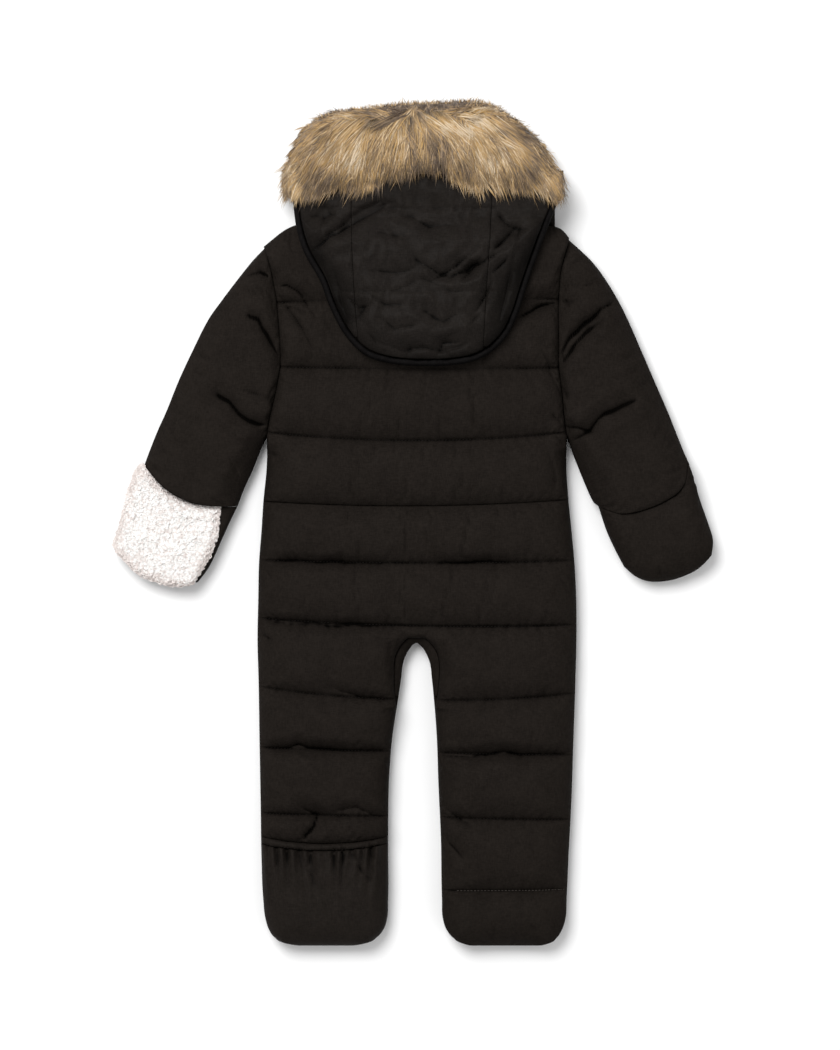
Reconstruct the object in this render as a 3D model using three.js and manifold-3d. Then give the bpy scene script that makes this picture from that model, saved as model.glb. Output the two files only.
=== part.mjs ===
// A toddler's quilted snowsuit with a fur-trimmed hood, laid face down on a table.
// Millimetres. +X is the right side as seen from above, +Y runs up to the hood, +Z is up.
// Each padded piece is a closed solid: its plan is a grid of points between its seams,
// with a puffed surface on one side and a flat one where two layers of the suit meet.
import * as THREE from 'three';
import Module from 'manifold-3d';

const wasm = await Module();
wasm.setup();

// Layers
const SEAM_GAP = 0.3;
const LAYER_MEETING = 15; // height at which the front layer ends and the back layer starts
const FRONT_TOP = LAYER_MEETING - SEAM_GAP / 2;
const BACK_BOTTOM = LAYER_MEETING + SEAM_GAP / 2;
const EDGE_THICKNESS = 1.6; // what a panel keeps at its outline
const BACK_CROWN = 24; // loft of a back channel above the meeting plane
const SLEEVE_CROWN = 21;
const BACK_ROUNDING = 44; // how far in from the outline the back stops rising
const FRONT_ROUNDING = 15;
const STITCH_SHARE = 0.66; // height left at a stitch line, as a share of the channel's
const SEAM_SHARE = 0.72; // height left at a sewn seam

// Torso
const CENTRE_X = 2;
const UNDERARM_Y = 90;
const CROTCH_Y = -128;
const FOOT_END_Y = -447.3;

// Hood and fur
const HOOD_BED = 33.6; // height to which the hood presses the back
const NAPE_BOTTOM = 34.2;
const NAPE_TOP = 45.7;
const HOOD_BOTTOM = 46;
const HOOD_LOFT = 17;
const HOOD_TOP_Y = 362;
const HOOD_UNDER_FUR = 54;
const BINDING_WIDTH = 6;
const FUR_HEIGHT = 70;
const FRINGE_BOTTOM = 54.8;

// Outline rows of the body: height along the body, left edge, right edge
const SIDES = [
  { y: UNDERARM_Y, left: -154.9, right: 160.1 },
  { y: 54, left: -155.9, right: 160.1 },
  { y: 22, left: -159.1, right: 162.2 },
  { y: -10, left: -161.2, right: 165.4 },
  { y: -44, left: -163.8, right: 168.5 },
  { y: -83, left: -164.6, right: 170.4 },
  { y: -125, left: -165.4, right: 170.6 },
  { y: -167, left: -164.3, right: 169.6 },
  { y: -230, left: -163.3, right: 167.5 },
  { y: -293, left: -162.2, right: 165.4 },
  { y: -356, left: -161.2, right: 162.2 },
  { y: -398, left: -159.4, right: 160.3 },
  { y: -419, left: -157, right: 159.1 },
  { y: -430, left: -153.5, right: 155.7 },
  { y: -438, left: -148, right: 150.5 },
  { y: -444, left: -138, right: 142 },
  { y: FOOT_END_Y, left: -122, right: 126 },
];

// Inner edges of the legs: height along the body, the left leg's edge, the right leg's edge
const INSEAMS = [
  { y: CROTCH_Y, left: 1.8, right: 2.4 },
  { y: -131, left: -2.5, right: 6.5 },
  { y: -136, left: -6.3, right: 10.3 },
  { y: -146, left: -11, right: 15.2 },
  { y: -167, left: -14.2, right: 18.4 },
  { y: -188, left: -17.3, right: 20.5 },
  { y: -230, left: -23.6, right: 23.6 },
  { y: -272, left: -26.8, right: 25 },
  { y: -335, left: -27.8, right: 27.8 },
  { y: -398, left: -27.8, right: 28.9 },
  { y: -419, left: -28.9, right: 29.9 },
  { y: -430, left: -32.4, right: 33.5 },
  { y: -438, left: -39, right: 40 },
  { y: -444, left: -49, right: 50 },
  { y: FOOT_END_Y, left: -65, right: 66 },
];

// Seam of the gusset between the legs: height, seam on the left leg, seam on the right leg
const GUSSET_SEAMS = [
  { y: -123.3, left: -7, right: 11 },
  { y: -127, left: -11.5, right: 15.5 },
  { y: -133, left: -16, right: 21 },
  { y: -143, left: -20.5, right: 25.3 },
  { y: -158, left: -21.5, right: 26.6 },
  { y: -173, left: -21.5, right: 25.4 },
  { y: -186, left: -20.6, right: 24 },
  { y: -198, left: -18.8, right: 21.2 },
];

// Armhole seams, from the shoulder to the underarm: height, left seam, right seam
const ARMHOLES = [
  { y: 300, left: -159.4, right: 163.3 },
  { y: 290, left: -159.2, right: 160.8 },
  { y: 282, left: -155.7, right: 158.4 },
  { y: 264, left: -150.6, right: 153.9 },
  { y: 238, left: -145.9, right: 151.8 },
  { y: 198, left: -141.7, right: 150.8 },
  { y: 160, left: -141.2, right: 151.8 },
  { y: 134, left: -145.6, right: 154.8 },
  { y: 106, left: -152.2, right: 157.2 },
  { y: 88, left: -155, right: 159.8 },
];

// Top edge of the back, across the shoulders and the neck: place across, height
const BACK_NECKLINE = [
  { x: -159.2, y: 288 },
  { x: -150.7, y: 295.1 },
  { x: -137, y: 305.6 },
  { x: -105, y: 316.5 },
  { x: -73, y: 324.4 },
  { x: -36, y: 309.8 },
  { x: 2, y: 303.4 },
  { x: 39, y: 309.8 },
  { x: 77, y: 324.4 },
  { x: 110, y: 318.5 },
  { x: 140, y: 311 },
  { x: 156, y: 305.6 },
  { x: 163.3, y: 297.2 },
];

// Top edge of the two fronts: as above, with the deeper front neckline
const FRONT_NECKLINE = [
  { x: -159.2, y: 288 },
  { x: -150.7, y: 295.1 },
  { x: -137, y: 305.6 },
  { x: -105, y: 316.5 },
  { x: -73, y: 324.4 },
  { x: -62, y: 303 },
  { x: -42, y: 280 },
  { x: -20, y: 269 },
  { x: 2, y: 265.7 },
  { x: 24, y: 269 },
  { x: 46, y: 280 },
  { x: 66, y: 303 },
  { x: 77, y: 324.4 },
  { x: 110, y: 318.5 },
  { x: 140, y: 311 },
  { x: 156, y: 305.6 },
  { x: 163.3, y: 297.2 },
];

// Quilting lines across the body: heights at the left edge, the middle and the right edge
const QUILT_LINES = {
  nape: { left: 228, middle: 234, right: 232 },
  blade: { left: 162, middle: 160, right: 161 },
  chest: { left: 94, middle: 84.5, right: 94 },
  waist: { left: 21, middle: 15.8, right: 23 },
  seat: { left: -41, middle: -44, right: -41.5 },
  hip: { left: -102, middle: -110, right: -109 },
  thigh: { left: -174, middle: -188, right: -181 },
  knee: { left: -238, middle: -243, right: -246 },
  shin: { left: -307, middle: -311, right: -314 },
  ankle: { left: -386, middle: -388, right: -387 },
  mouth: { left: -332, middle: -338.5, right: -331.5 },
};
const LINE_LEFT_X = -164;
const LINE_RIGHT_X = 169;

// Where the grids have their rows inside a quilt channel, as shares of its height
const CHANNEL_ROWS = [0, 0.06, 0.17, 0.36, 0.6, 0.82, 0.94];
const CROTCH_ROWS = [0, 0.06, 0.17, 0.22, 0.29, 0.4, 0.6, 0.82, 0.94];
const END_ROWS = [0, 0.08, 0.25, 0.48, 0.68, 0.8, 0.88, 0.94, 0.98, 1];
const BACK_COLUMNS = [0, 0.012, 0.04, 0.09, 0.16, 0.25, 0.36, 0.5, 0.64, 0.75, 0.84, 0.91, 0.96, 0.988, 1];
const LEG_COLUMNS = [0, 0.03, 0.09, 0.2, 0.35, 0.5, 0.65, 0.8, 0.91, 0.97, 1];
const UNDER_COLUMNS = [0, 0.03, 0.1, 0.5, 0.9, 0.97, 1];
const SLEEVE_COLUMNS = [0, 0.03, 0.09, 0.19, 0.33, 0.5, 0.67, 0.81, 0.91, 0.97, 1];
const SLEEVE_ROWS = [
  0, 0.025, 0.07, 0.14, 0.22, 0.3, 0.38, 0.46, 0.54, 0.62, 0.7, 0.78, 0.86, 0.93, 0.975, 1,
];
const UNDER_ROWS = [0, 0.03, 0.1, 0.25, 0.5, 0.75, 0.9, 0.97, 1];

// Large creases pressed into the back layer: ends, half width, depth
const CREASES = [
  { from: [-137, 215], to: [-105, 175], width: 9, depth: 4 },
  { from: [137, 169], to: [155, 132], width: 8, depth: 4.5 },
  { from: [154, 108], to: [158, 92], width: 9, depth: 5 },
  { from: [-145, 246], to: [-118, 228], width: 8, depth: 4 },
  { from: [115, 216], to: [161, 232], width: 7, depth: 5 },
  { from: [-104, -41], to: [-34, -48], width: 7, depth: 3 },
  { from: [27, -47], to: [92, -45], width: 7, depth: 3 },
  { from: [-150, -240], to: [-30, -240], width: 8, depth: 3 },
  { from: [30, -247], to: [158, -246], width: 8, depth: 3 },
  { from: [-104, -309], to: [-118, -332], width: 7, depth: 3.5 },
  { from: [-84, -311], to: [-105, -328], width: 7, depth: 3 },
  { from: [-183, 253], to: [-149, 250], width: 8, depth: 4 },
  { from: [-176, 216], to: [-142, 174], width: 8, depth: 4 },
  { from: [-205, 135], to: [-156, 106], width: 10, depth: 7 },
  { from: [213, 231], to: [153, 162], width: 9, depth: 5 },
  { from: [237, 128], to: [164, 86], width: 10, depth: 6 },
];

// Small tools

function mix(a, b, share) {
  return a + (b - a) * share;
}

function tableAt(table, key, value, column) {
  const rising = table[table.length - 1][key] > table[0][key];
  const last = table.findIndex((row) => (rising ? row[key] >= value : row[key] <= value));
  if (last === 0) return table[0][column];
  if (last < 0) return table[table.length - 1][column];
  const before = table[last - 1];
  const after = table[last];
  return mix(before[column], after[column], (value - before[key]) / (after[key] - before[key]));
}

function bowed(left, middle, right, u) {
  return left * (1 - u) * (1 - 2 * u) + middle * 4 * u * (1 - u) + right * u * (2 * u - 1);
}

function lineAt(line, x) {
  return bowed(line.left, line.middle, line.right, (x - LINE_LEFT_X) / (LINE_RIGHT_X - LINE_LEFT_X));
}

function roundOff(distance, radius) {
  const left = 1 - Math.min(Math.max(distance / radius, 0), 1);
  return Math.sqrt(1 - left * left);
}

function pillow(share) {
  return Math.sqrt(Math.sin(Math.PI * Math.min(Math.max(share, 0), 1)));
}

function segmentDistance(x, y, [ax, ay], [bx, by]) {
  const long = (bx - ax) ** 2 + (by - ay) ** 2;
  const along = Math.min(Math.max(((x - ax) * (bx - ax) + (y - ay) * (by - ay)) / long, 0), 1);
  return Math.hypot(x - mix(ax, bx, along), y - mix(ay, by, along));
}

function pathDistance(x, y, path) {
  return Math.min(...path.slice(1).map((point, i) => segmentDistance(x, y, path[i], point)));
}

function insidePath(x, y, path) {
  let inside = false;
  path.forEach(([ax, ay], i) => {
    const [bx, by] = path[(i + 1) % path.length];
    if (ay > y !== by > y && x < ax + ((bx - ax) * (y - ay)) / (by - ay)) inside = !inside;
  });
  return inside;
}

function creaseDepth(x, y) {
  return CREASES.reduce((sum, { from, to, width, depth }) => {
    const away = segmentDistance(x, y, from, to) / width;
    return sum + depth * Math.exp(-away * away);
  }, 0);
}

function smoothPath(points, count) {
  const curve = new THREE.SplineCurve(points.map(([x, y]) => new THREE.Vector2(x, y)));
  return curve.getSpacedPoints(count).map((p) => [p.x, p.y]);
}

function shiftedPath(path, distance) {
  return path.map(([x, y], i) => {
    const [ax, ay] = path[Math.max(i - 1, 0)];
    const [bx, by] = path[Math.min(i + 1, path.length - 1)];
    const long = Math.hypot(bx - ax, by - ay);
    return [x - ((by - ay) / long) * distance, y + ((bx - ax) / long) * distance];
  });
}

// A surface patch between four edges: start and end run across, first and last run along
function patchPoint(edges, across, along) {
  const at = (path, share) => {
    if (typeof path === 'function') return path(share);
    const place = share * (path.length - 1);
    const i = Math.min(Math.floor(place), path.length - 2);
    return [0, 1].map((k) => mix(path[i][k], path[i + 1][k], place - i));
  };
  const start = at(edges.start, across);
  const end = at(edges.end, across);
  const first = at(edges.first, along);
  const last = at(edges.last, along);
  const corners = [at(edges.start, 0), at(edges.start, 1), at(edges.end, 0), at(edges.end, 1)];
  return [0, 1].map((k) => {
    const ruled = mix(start[k], end[k], along) + mix(first[k], last[k], across);
    const startLine = mix(corners[0][k], corners[1][k], across);
    const endLine = mix(corners[2][k], corners[3][k], across);
    return ruled - mix(startLine, endLine, along);
  });
}

// A block is a pair of grids of [x, y, z] with the same plan: its upper and its lower surface
function block(rows, columns, place, upperZ, lowerZ) {
  const grid = (height) => rows.map((row, i) => columns.map((column, j) => {
    const [x, y] = place(column, row, j, i);
    return [x, y, height({ x, y, column, row, i, j })];
  }));
  return { upper: grid(upperZ), lower: grid(lowerZ) };
}

// One closed solid from blocks that share borders, with a rim along every free border
function slab(...blocks) {
  const points = [];
  const known = new Map();
  const find = (point) => {
    const key = point.map((v) => Math.round(v * 1000)).join();
    if (!known.has(key)) {
      known.set(key, points.length);
      points.push(point);
    }
    return known.get(key);
  };
  const faces = [];
  const below = new Map();
  const free = new Map();
  for (const { upper, lower } of blocks) {
    for (let i = 0; i + 1 < upper.length; i += 1) {
      for (let j = 0; j + 1 < upper[i].length; j += 1) {
        const corners = [[i, j], [i + 1, j], [i + 1, j + 1], [i, j + 1]];
        const top = corners.map(([r, c]) => find(upper[r][c]));
        const bottom = corners.map(([r, c]) => find(lower[r][c]));
        top.forEach((vertex, k) => below.set(vertex, bottom[k]));
        faces.push([top[0], top[1], top[2]], [top[0], top[2], top[3]]);
        faces.push([bottom[2], bottom[1], bottom[0]], [bottom[3], bottom[2], bottom[0]]);
        top.forEach((vertex, k) => {
          const next = top[(k + 1) % 4];
          if (!free.delete(`${next} ${vertex}`)) free.set(`${vertex} ${next}`, [vertex, next]);
        });
      }
    }
  }
  for (const [a, b] of free.values()) {
    faces.push([b, a, below.get(a)], [b, below.get(a), below.get(b)]);
  }
  const volume = faces.reduce((sum, [a, b, c]) => {
    const [p, q, r] = [a, b, c].map((v) => new THREE.Vector3(...points[v]));
    return sum + p.dot(q.cross(r));
  }, 0);
  const outward = volume < 0 ? faces.map(([a, b, c]) => [a, c, b]) : faces;
  return new wasm.Manifold(new wasm.Mesh({
    numProp: 3,
    vertProperties: new Float32Array(points.flat()),
    triVerts: new Uint32Array(outward.flat()),
  })).asOriginal().simplify(0.01);
}

const flat = (z) => () => z;

// Finishes

const finishes = {
  shell: { color: 0x211d1a, roughness: 0.55, metalness: 0 },
  binding: { color: 0x1b1816, roughness: 0.5, metalness: 0 },
  fleece: { color: 0xf4f1ec, roughness: 0.95, metalness: 0 },
  fur: { color: 0xab8b64, roughness: 0.9, metalness: 0 },
};

function piece(name, solid, finish) {
  const { vertProperties, triVerts, numProp } = solid.getMesh();
  const geometry = new THREE.BufferGeometry();
  const positions = Float32Array.from(
    { length: (vertProperties.length / numProp) * 3 },
    (_, k) => vertProperties[Math.floor(k / 3) * numProp + (k % 3)],
  );
  geometry.setAttribute('position', new THREE.BufferAttribute(positions, 3));
  geometry.setIndex(new THREE.BufferAttribute(new Uint32Array(triVerts), 1));
  geometry.computeVertexNormals();
  const mesh = new THREE.Mesh(geometry, new THREE.MeshStandardMaterial(finishes[finish]));
  mesh.name = name;
  return mesh;
}

// The hood's outline as it lies, from its left end round the crown to its right end
const HOOD_OUTLINE = smoothPath([
  [-129, HOOD_TOP_Y - 1.5],
  [-127, 335],
  [-123.4, 306.6],
  [-115, 280.4],
  [-99, 252],
  [-88.7, 224.7],
  [-73, 195.3],
  [-50, 173],
  [-16, 163.8],
  [33, 162.8],
  [68.8, 170],
  [94, 190],
  [107.6, 215.2],
  [118.1, 247.8],
  [130.7, 283.5],
  [140, 308.7],
  [150, 335],
  [154, HOOD_TOP_Y - 1.5],
], 60);
const HOOD_INNER = shiftedPath(HOOD_OUTLINE, BINDING_WIDTH + 3 * SEAM_GAP);
const HOOD_SEAM_LEFT = [
  { y: HOOD_TOP_Y, x: -66 },
  { y: 300, x: -65.6 },
  { y: 240, x: -63 },
  { y: 186, x: -59 },
];
const HOOD_SEAM_RIGHT = [
  { y: HOOD_TOP_Y, x: 82 },
  { y: 300, x: 79 },
  { y: 240, x: 75 },
  { y: 176, x: 71.5 },
];

// Body

function edgeX(side, y) {
  return tableAt(y > UNDERARM_Y ? ARMHOLES : SIDES, 'y', y, side);
}

function inseamX(side, y) {
  const lastSeam = GUSSET_SEAMS[GUSSET_SEAMS.length - 1].y;
  return tableAt(y > lastSeam ? GUSSET_SEAMS : INSEAMS, 'y', y, side);
}

// Finds the point at a share of the way across and down a channel between two lines
function channelPoint(upperLine, lowerLine, leftEdge, rightEdge, across, down) {
  let x = CENTRE_X;
  let y = mix(upperLine(x), lowerLine(x), down);
  for (let turn = 0; turn < 4; turn += 1) {
    x = mix(leftEdge(y), rightEdge(y), across);
    y = mix(upperLine(x), lowerLine(x), down);
  }
  return [x, y];
}

function pressedByHood(x, y) {
  const away = insidePath(x, y, HOOD_OUTLINE) ? 0 : pathDistance(x, y, HOOD_OUTLINE);
  return HOOD_BED + Math.max(0, away - 18) * 0.3;
}

// Height of the back layer at a place: rounded to its outline, quilted, creased
function backZ(x, y, share, rim) {
  const quilted = STITCH_SHARE + (1 - STITCH_SHARE) * pillow(share);
  const loft = BACK_CROWN * rim * quilted - creaseDepth(x, y) * rim;
  return Math.min(BACK_BOTTOM + EDGE_THICKNESS + Math.max(loft, 0), pressedByHood(x, y));
}

function channelRows(count, { lastRows, crotch }) {
  const rows = [];
  for (let channel = 0; channel < count; channel += 1) {
    const shares = crotch && channel === CROTCH_CHANNEL ? CROTCH_ROWS : CHANNEL_ROWS;
    (channel === count - 1 && lastRows ? lastRows : shares).forEach((share) => rows.push(channel + share));
  }
  return lastRows ? rows : [...rows, count];
}

function lineFunctions(names) {
  return names.map((name) => (x) => lineAt(QUILT_LINES[name], x));
}

// Rows run down through channels: the row's whole part is its channel
function channelPlace(lines, leftEdge, rightEdge) {
  return (across, row) => {
    const channel = Math.min(Math.floor(row), lines.length - 2);
    return channelPoint(lines[channel], lines[channel + 1], leftEdge, rightEdge, across, row - channel);
  };
}

function shareOf(row, count) {
  return row - Math.min(Math.floor(row), count - 1);
}

function backYoke() {
  const top = (x) => tableAt(BACK_NECKLINE, 'x', x, 'y');
  const lines = [top, ...lineFunctions(['nape', 'blade', 'chest', 'waist'])];
  const place = channelPlace(lines, (y) => edgeX('left', y), (y) => edgeX('right', y));
  const height = ({ x, y, row }) => {
    const side = Math.min(x - edgeX('left', y), edgeX('right', y) - x);
    const seamed = mix(SEAM_SHARE, 1, roundOff(side, 14));
    const nearArmhole = Math.min(Math.max((y - UNDERARM_Y + 20) / 20, 0), 1);
    const sideRim = mix(roundOff(side, BACK_ROUNDING), seamed, nearArmhole);
    const topRim = roundOff(top(x) - y + 1, 30);
    return backZ(x, y, row < 1 ? 0.5 + row / 2 : shareOf(row, 4), Math.min(sideRim, topRim));
  };
  return slab(block(channelRows(4, {}), BACK_COLUMNS, place, height, flat(BACK_BOTTOM)));
}

// Distance to the split between the legs, also above the crotch
function splitDistance(side, x, y) {
  const edge = inseamX(side, y);
  const sideways = side === 'left' ? edge - x : x - edge;
  const top = GUSSET_SEAMS[0].y;
  return y < top ? sideways : Math.hypot(Math.max(sideways, 0), y - top);
}

const LEG_LINES = lineFunctions(['waist', 'seat', 'hip', 'thigh', 'knee', 'shin']);
LEG_LINES[0] = (x) => lineAt(QUILT_LINES.waist, x) - SEAM_GAP;
const CROTCH_CHANNEL = 2;
const CROTCH_ROW = CROTCH_CHANNEL + CROTCH_ROWS[2];

function legPlace(side, lines) {
  const outer = (y) => edgeX(side, y);
  const inner = (y) => inseamX(side, y);
  return side === 'left' ? channelPlace(lines, outer, inner) : channelPlace(lines, inner, outer);
}

function seatAndLegs() {
  const legZ = (side, count, endY, endRadius) => ({ x, y, row }) => {
    const outer = side === 'left' ? x - edgeX('left', y) : edgeX('right', y) - x;
    const inner = splitDistance(side, x, y);
    const rim = Math.min(roundOff(outer, BACK_ROUNDING), mix(0.45, 1, roundOff(inner, BACK_ROUNDING * 0.6)));
    const leg = y < GUSSET_SEAMS[GUSSET_SEAMS.length - 1].y ? roundOff(inner, BACK_ROUNDING * 0.75) : 1;
    const end = endRadius ? roundOff(y - endY, endRadius) : 1;
    return backZ(x, y, shareOf(row, count), Math.min(rim, leg, end));
  };
  const blocks = ['left', 'right'].flatMap((side) => {
    const left = side === 'left';
    const lines = left
      ? [...LEG_LINES, (x) => footMouth(x) + SEAM_GAP]
      : [...LEG_LINES, ...lineFunctions(['ankle']), () => FOOT_END_Y];
    const count = lines.length - 1;
    const rows = channelRows(count, { crotch: true, lastRows: left ? null : END_ROWS });
    const height = left ? legZ(side, count, 0, 0) : legZ(side, count, FOOT_END_Y, 34);
    const seat = rows.filter((row) => row <= CROTCH_ROW);
    const leg = rows.filter((row) => row >= CROTCH_ROW);
    const place = legPlace(side, lines);
    return [seat, leg].map((part) => block(part, LEG_COLUMNS, place, height, flat(BACK_BOTTOM)));
  });
  const middleRows = channelRows(CROTCH_CHANNEL + 1, { crotch: true }).filter((row) => row <= CROTCH_ROW);
  const middlePlace = (across, row) => legPlace(across ? 'right' : 'left', LEG_LINES)(1 - across, row);
  const middleZ = (at) => legZ(at.column ? 'right' : 'left', LEG_LINES.length, 0, 0)(at);
  return slab(...blocks, block(middleRows, [0, 1], middlePlace, middleZ, flat(BACK_BOTTOM)));
}

function inseamGusset() {
  const rows = CROTCH_ROWS.slice(2).map((share) => CROTCH_CHANNEL + share);
  const seamTop = GUSSET_SEAMS[0].y;
  const lowest = legPlace('left', LEG_LINES)(1, rows[rows.length - 1])[1];
  const stations = [
    ...[...rows].reverse().map((row) => ({ side: 'left', row })),
    ...rows.map((row) => ({ side: 'right', row })),
  ];
  const place = (across, index) => {
    const { side, row } = stations[index];
    const [seamX, seamY] = legPlace(side, LEG_LINES)(side === 'left' ? 1 : 0, row);
    const y = mix(CROTCH_Y - 0.5, lowest, (seamTop - seamY) / (seamTop - lowest));
    const x = tableAt(INSEAMS, 'y', y, side);
    const gap = SEAM_GAP / Math.hypot(seamX - x, seamY - y);
    return [mix(x, seamX, across * (1 - gap)), mix(y, seamY, across * (1 - gap))];
  };
  const heights = [EDGE_THICKNESS, 6, 8];
  const height = ({ j }) => BACK_BOTTOM + heights[j];
  return slab(block(stations.map((_, i) => i), [0, 0.5, 1], place, height, flat(BACK_BOTTOM)));
}

// Fronts, which lie on the table

function underZ(distance) {
  return FRONT_TOP - EDGE_THICKNESS - (FRONT_TOP - EDGE_THICKNESS) * roundOff(distance, FRONT_ROUNDING);
}

const FLAP_LEFT = -23;
const FLAP_RIGHT = 27;
const FLAP_TAPER_Y = -92;
const FLAP_END_Y = -119;

function flapX(edge, y) {
  const taper = Math.min(Math.max((FLAP_TAPER_Y - y) / (FLAP_TAPER_Y - FLAP_END_Y), 0), 1);
  return mix(edge, CENTRE_X + Math.sign(edge) * 0.2, taper);
}

function frontPanel(side) {
  const outward = side === 'left' ? -1 : 1;
  const flapEdge = side === 'left' ? FLAP_LEFT : FLAP_RIGHT;
  const outer = (y) => edgeX(side, y);
  const inner = (y) => (y > CROTCH_Y
    ? flapX(flapEdge, y) + outward * SEAM_GAP
    : tableAt(INSEAMS, 'y', y, side));
  const endY = side === 'left' ? FOOT_END_Y : footMouth(100) + SEAM_GAP;
  const top = (x) => tableAt(FRONT_NECKLINE, 'x', x, 'y');
  const levels = [
    ...ARMHOLES.slice(3).map(({ y }) => y),
    40, -10, -60, FLAP_TAPER_Y, -106, FLAP_END_Y,
    ...INSEAMS.slice(0, 8).map(({ y }) => y), -330,
  ];
  const ends = side === 'left' ? [-398, -419, -430, -438, -444, endY] : [endY];
  const lines = [top, ...[...levels, ...ends].map((y) => () => y)];
  const leftEdge = side === 'left' ? outer : inner;
  const rightEdge = side === 'left' ? inner : outer;
  const rows = [0, 0.12, 0.24, 0.5, ...lines.slice(1).map((_, i) => i + 1)];
  const necklineShares = FRONT_NECKLINE
    .map(({ x, y }) => (x - leftEdge(y)) / (rightEdge(y) - leftEdge(y)))
    .filter((share) => share > 0.035 && share < 0.965);
  const height = ({ x, y }) => {
    const seamed = y > UNDERARM_Y ? FRONT_ROUNDING * SEAM_SHARE : 0;
    const fromSide = Math.abs(x - outer(y)) + seamed;
    const flapped = y > CROTCH_Y ? FRONT_ROUNDING * SEAM_SHARE : 0;
    const fromInner = Math.abs(x - inner(y)) + flapped;
    const fromEnd = side === 'left' ? y - endY : FRONT_ROUNDING * SEAM_SHARE + y - endY;
    return underZ(Math.min(fromSide, fromInner, fromEnd, top(x) - y));
  };
  const place = channelPlace(lines, leftEdge, rightEdge);
  return slab(block(rows, [0, 0.03, ...necklineShares, 0.97, 1], place, flat(FRONT_TOP), height));
}

function frontFlap() {
  const top = (x) => tableAt(FRONT_NECKLINE, 'x', x, 'y');
  const lines = [top, () => 100, () => FLAP_TAPER_Y, () => -106, () => FLAP_END_Y];
  const place = channelPlace(lines, (y) => flapX(FLAP_LEFT, y), (y) => flapX(FLAP_RIGHT, y));
  const height = ({ x, y }) => {
    const side = Math.min(x - flapX(FLAP_LEFT, y), flapX(FLAP_RIGHT, y) - x);
    return underZ(FRONT_ROUNDING * SEAM_SHARE + Math.min(side, top(x) - y));
  };
  return slab(block([0, 0.04, 1, 2, 3, 4], [0, 0.12, 0.5, 0.88, 1], place, flat(FRONT_TOP), height));
}

// Feet

const CASING_DEPTH = 7.5;
const GATHERS = 12;
const COVER_CROWN = 22;

function footMouth(x) {
  const { left, middle, right } = QUILT_LINES.mouth;
  const u = (x - edgeX('left', middle)) / (inseamX('left', middle) - edgeX('left', middle));
  return x > CENTRE_X ? middle : bowed(left, middle, right, u);
}

function gatherWave(across) {
  const uneven = 0.75 + 0.25 * Math.sin(across * 23);
  return Math.sin(across * Math.PI * 2 * GATHERS + Math.sin(across * 9) * 1.4) * uneven;
}

const COVER_COLUMNS = Array.from({ length: 45 }, (_, i) => {
  const even = i / 44;
  return even - (Math.sin(even * Math.PI * 2) / (Math.PI * 2)) * 0.45;
});

function legEdges(side) {
  const outer = (y) => edgeX(side, y);
  const inner = (y) => tableAt(INSEAMS, 'y', y, side);
  return side === 'left' ? [outer, inner] : [inner, outer];
}

function coverRim(side, x, y, radius) {
  const [left, right] = legEdges(side);
  return roundOff(Math.min(x - left(y), right(y) - x, y - FOOT_END_Y), radius);
}

function footCoverLeft() {
  const start = (x) => footMouth(x) - CASING_DEPTH - SEAM_GAP;
  const place = channelPlace([start, () => FOOT_END_Y], ...legEdges('left'));
  const height = ({ x, y, column }) => {
    const rim = coverRim('left', x, y, 32);
    const fromMouth = start(x) - y;
    const reach = 15 + 16 * Math.abs(Math.sin(column * 17 + 1));
    const gather = 2.6 * gatherWave(column) * Math.exp(-fromMouth / reach);
    const rise = mix(0.8, 1, roundOff(fromMouth, 26));
    return BACK_BOTTOM + EDGE_THICKNESS + rim * (COVER_CROWN * rise + gather);
  };
  const rows = [0, 0.06, 0.14, 0.24, 0.36, 0.5, 0.64, 0.76, 0.86, 0.93, 0.975, 1];
  return slab(block(rows, COVER_COLUMNS, place, height, flat(BACK_BOTTOM)));
}

function footCasingLeft() {
  const end = (x) => footMouth(x) - CASING_DEPTH;
  const place = channelPlace([footMouth, end], ...legEdges('left'));
  const height = ({ x, y, column, row }) => {
    const rim = coverRim('left', x, y, 32);
    const gather = 1.4 * gatherWave(column);
    const round = mix(0.7, 0.86, pillow(row));
    return BACK_BOTTOM + EDGE_THICKNESS + rim * (COVER_CROWN * round + gather);
  };
  return slab(block([0, 0.25, 0.5, 0.75, 1], COVER_COLUMNS, place, height, flat(BACK_BOTTOM)));
}

function footCoverRight() {
  const start = footMouth(100);
  const place = channelPlace([() => start, () => FOOT_END_Y], ...legEdges('right'));
  const height = ({ x, y }) => {
    const [left, right] = legEdges('right');
    const rim = Math.min(x - left(y), right(y) - x, y - FOOT_END_Y, FRONT_ROUNDING * SEAM_SHARE + start - y);
    return underZ(rim);
  };
  const rows = [0, 0.1, 0.5, 0.68, 0.8, 0.86, 0.92, 0.97, 1];
  return slab(block(rows, UNDER_COLUMNS, place, flat(FRONT_TOP), height));
}

// Sleeves and mittens: edges run from the outer side of the arm to its inner side

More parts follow.
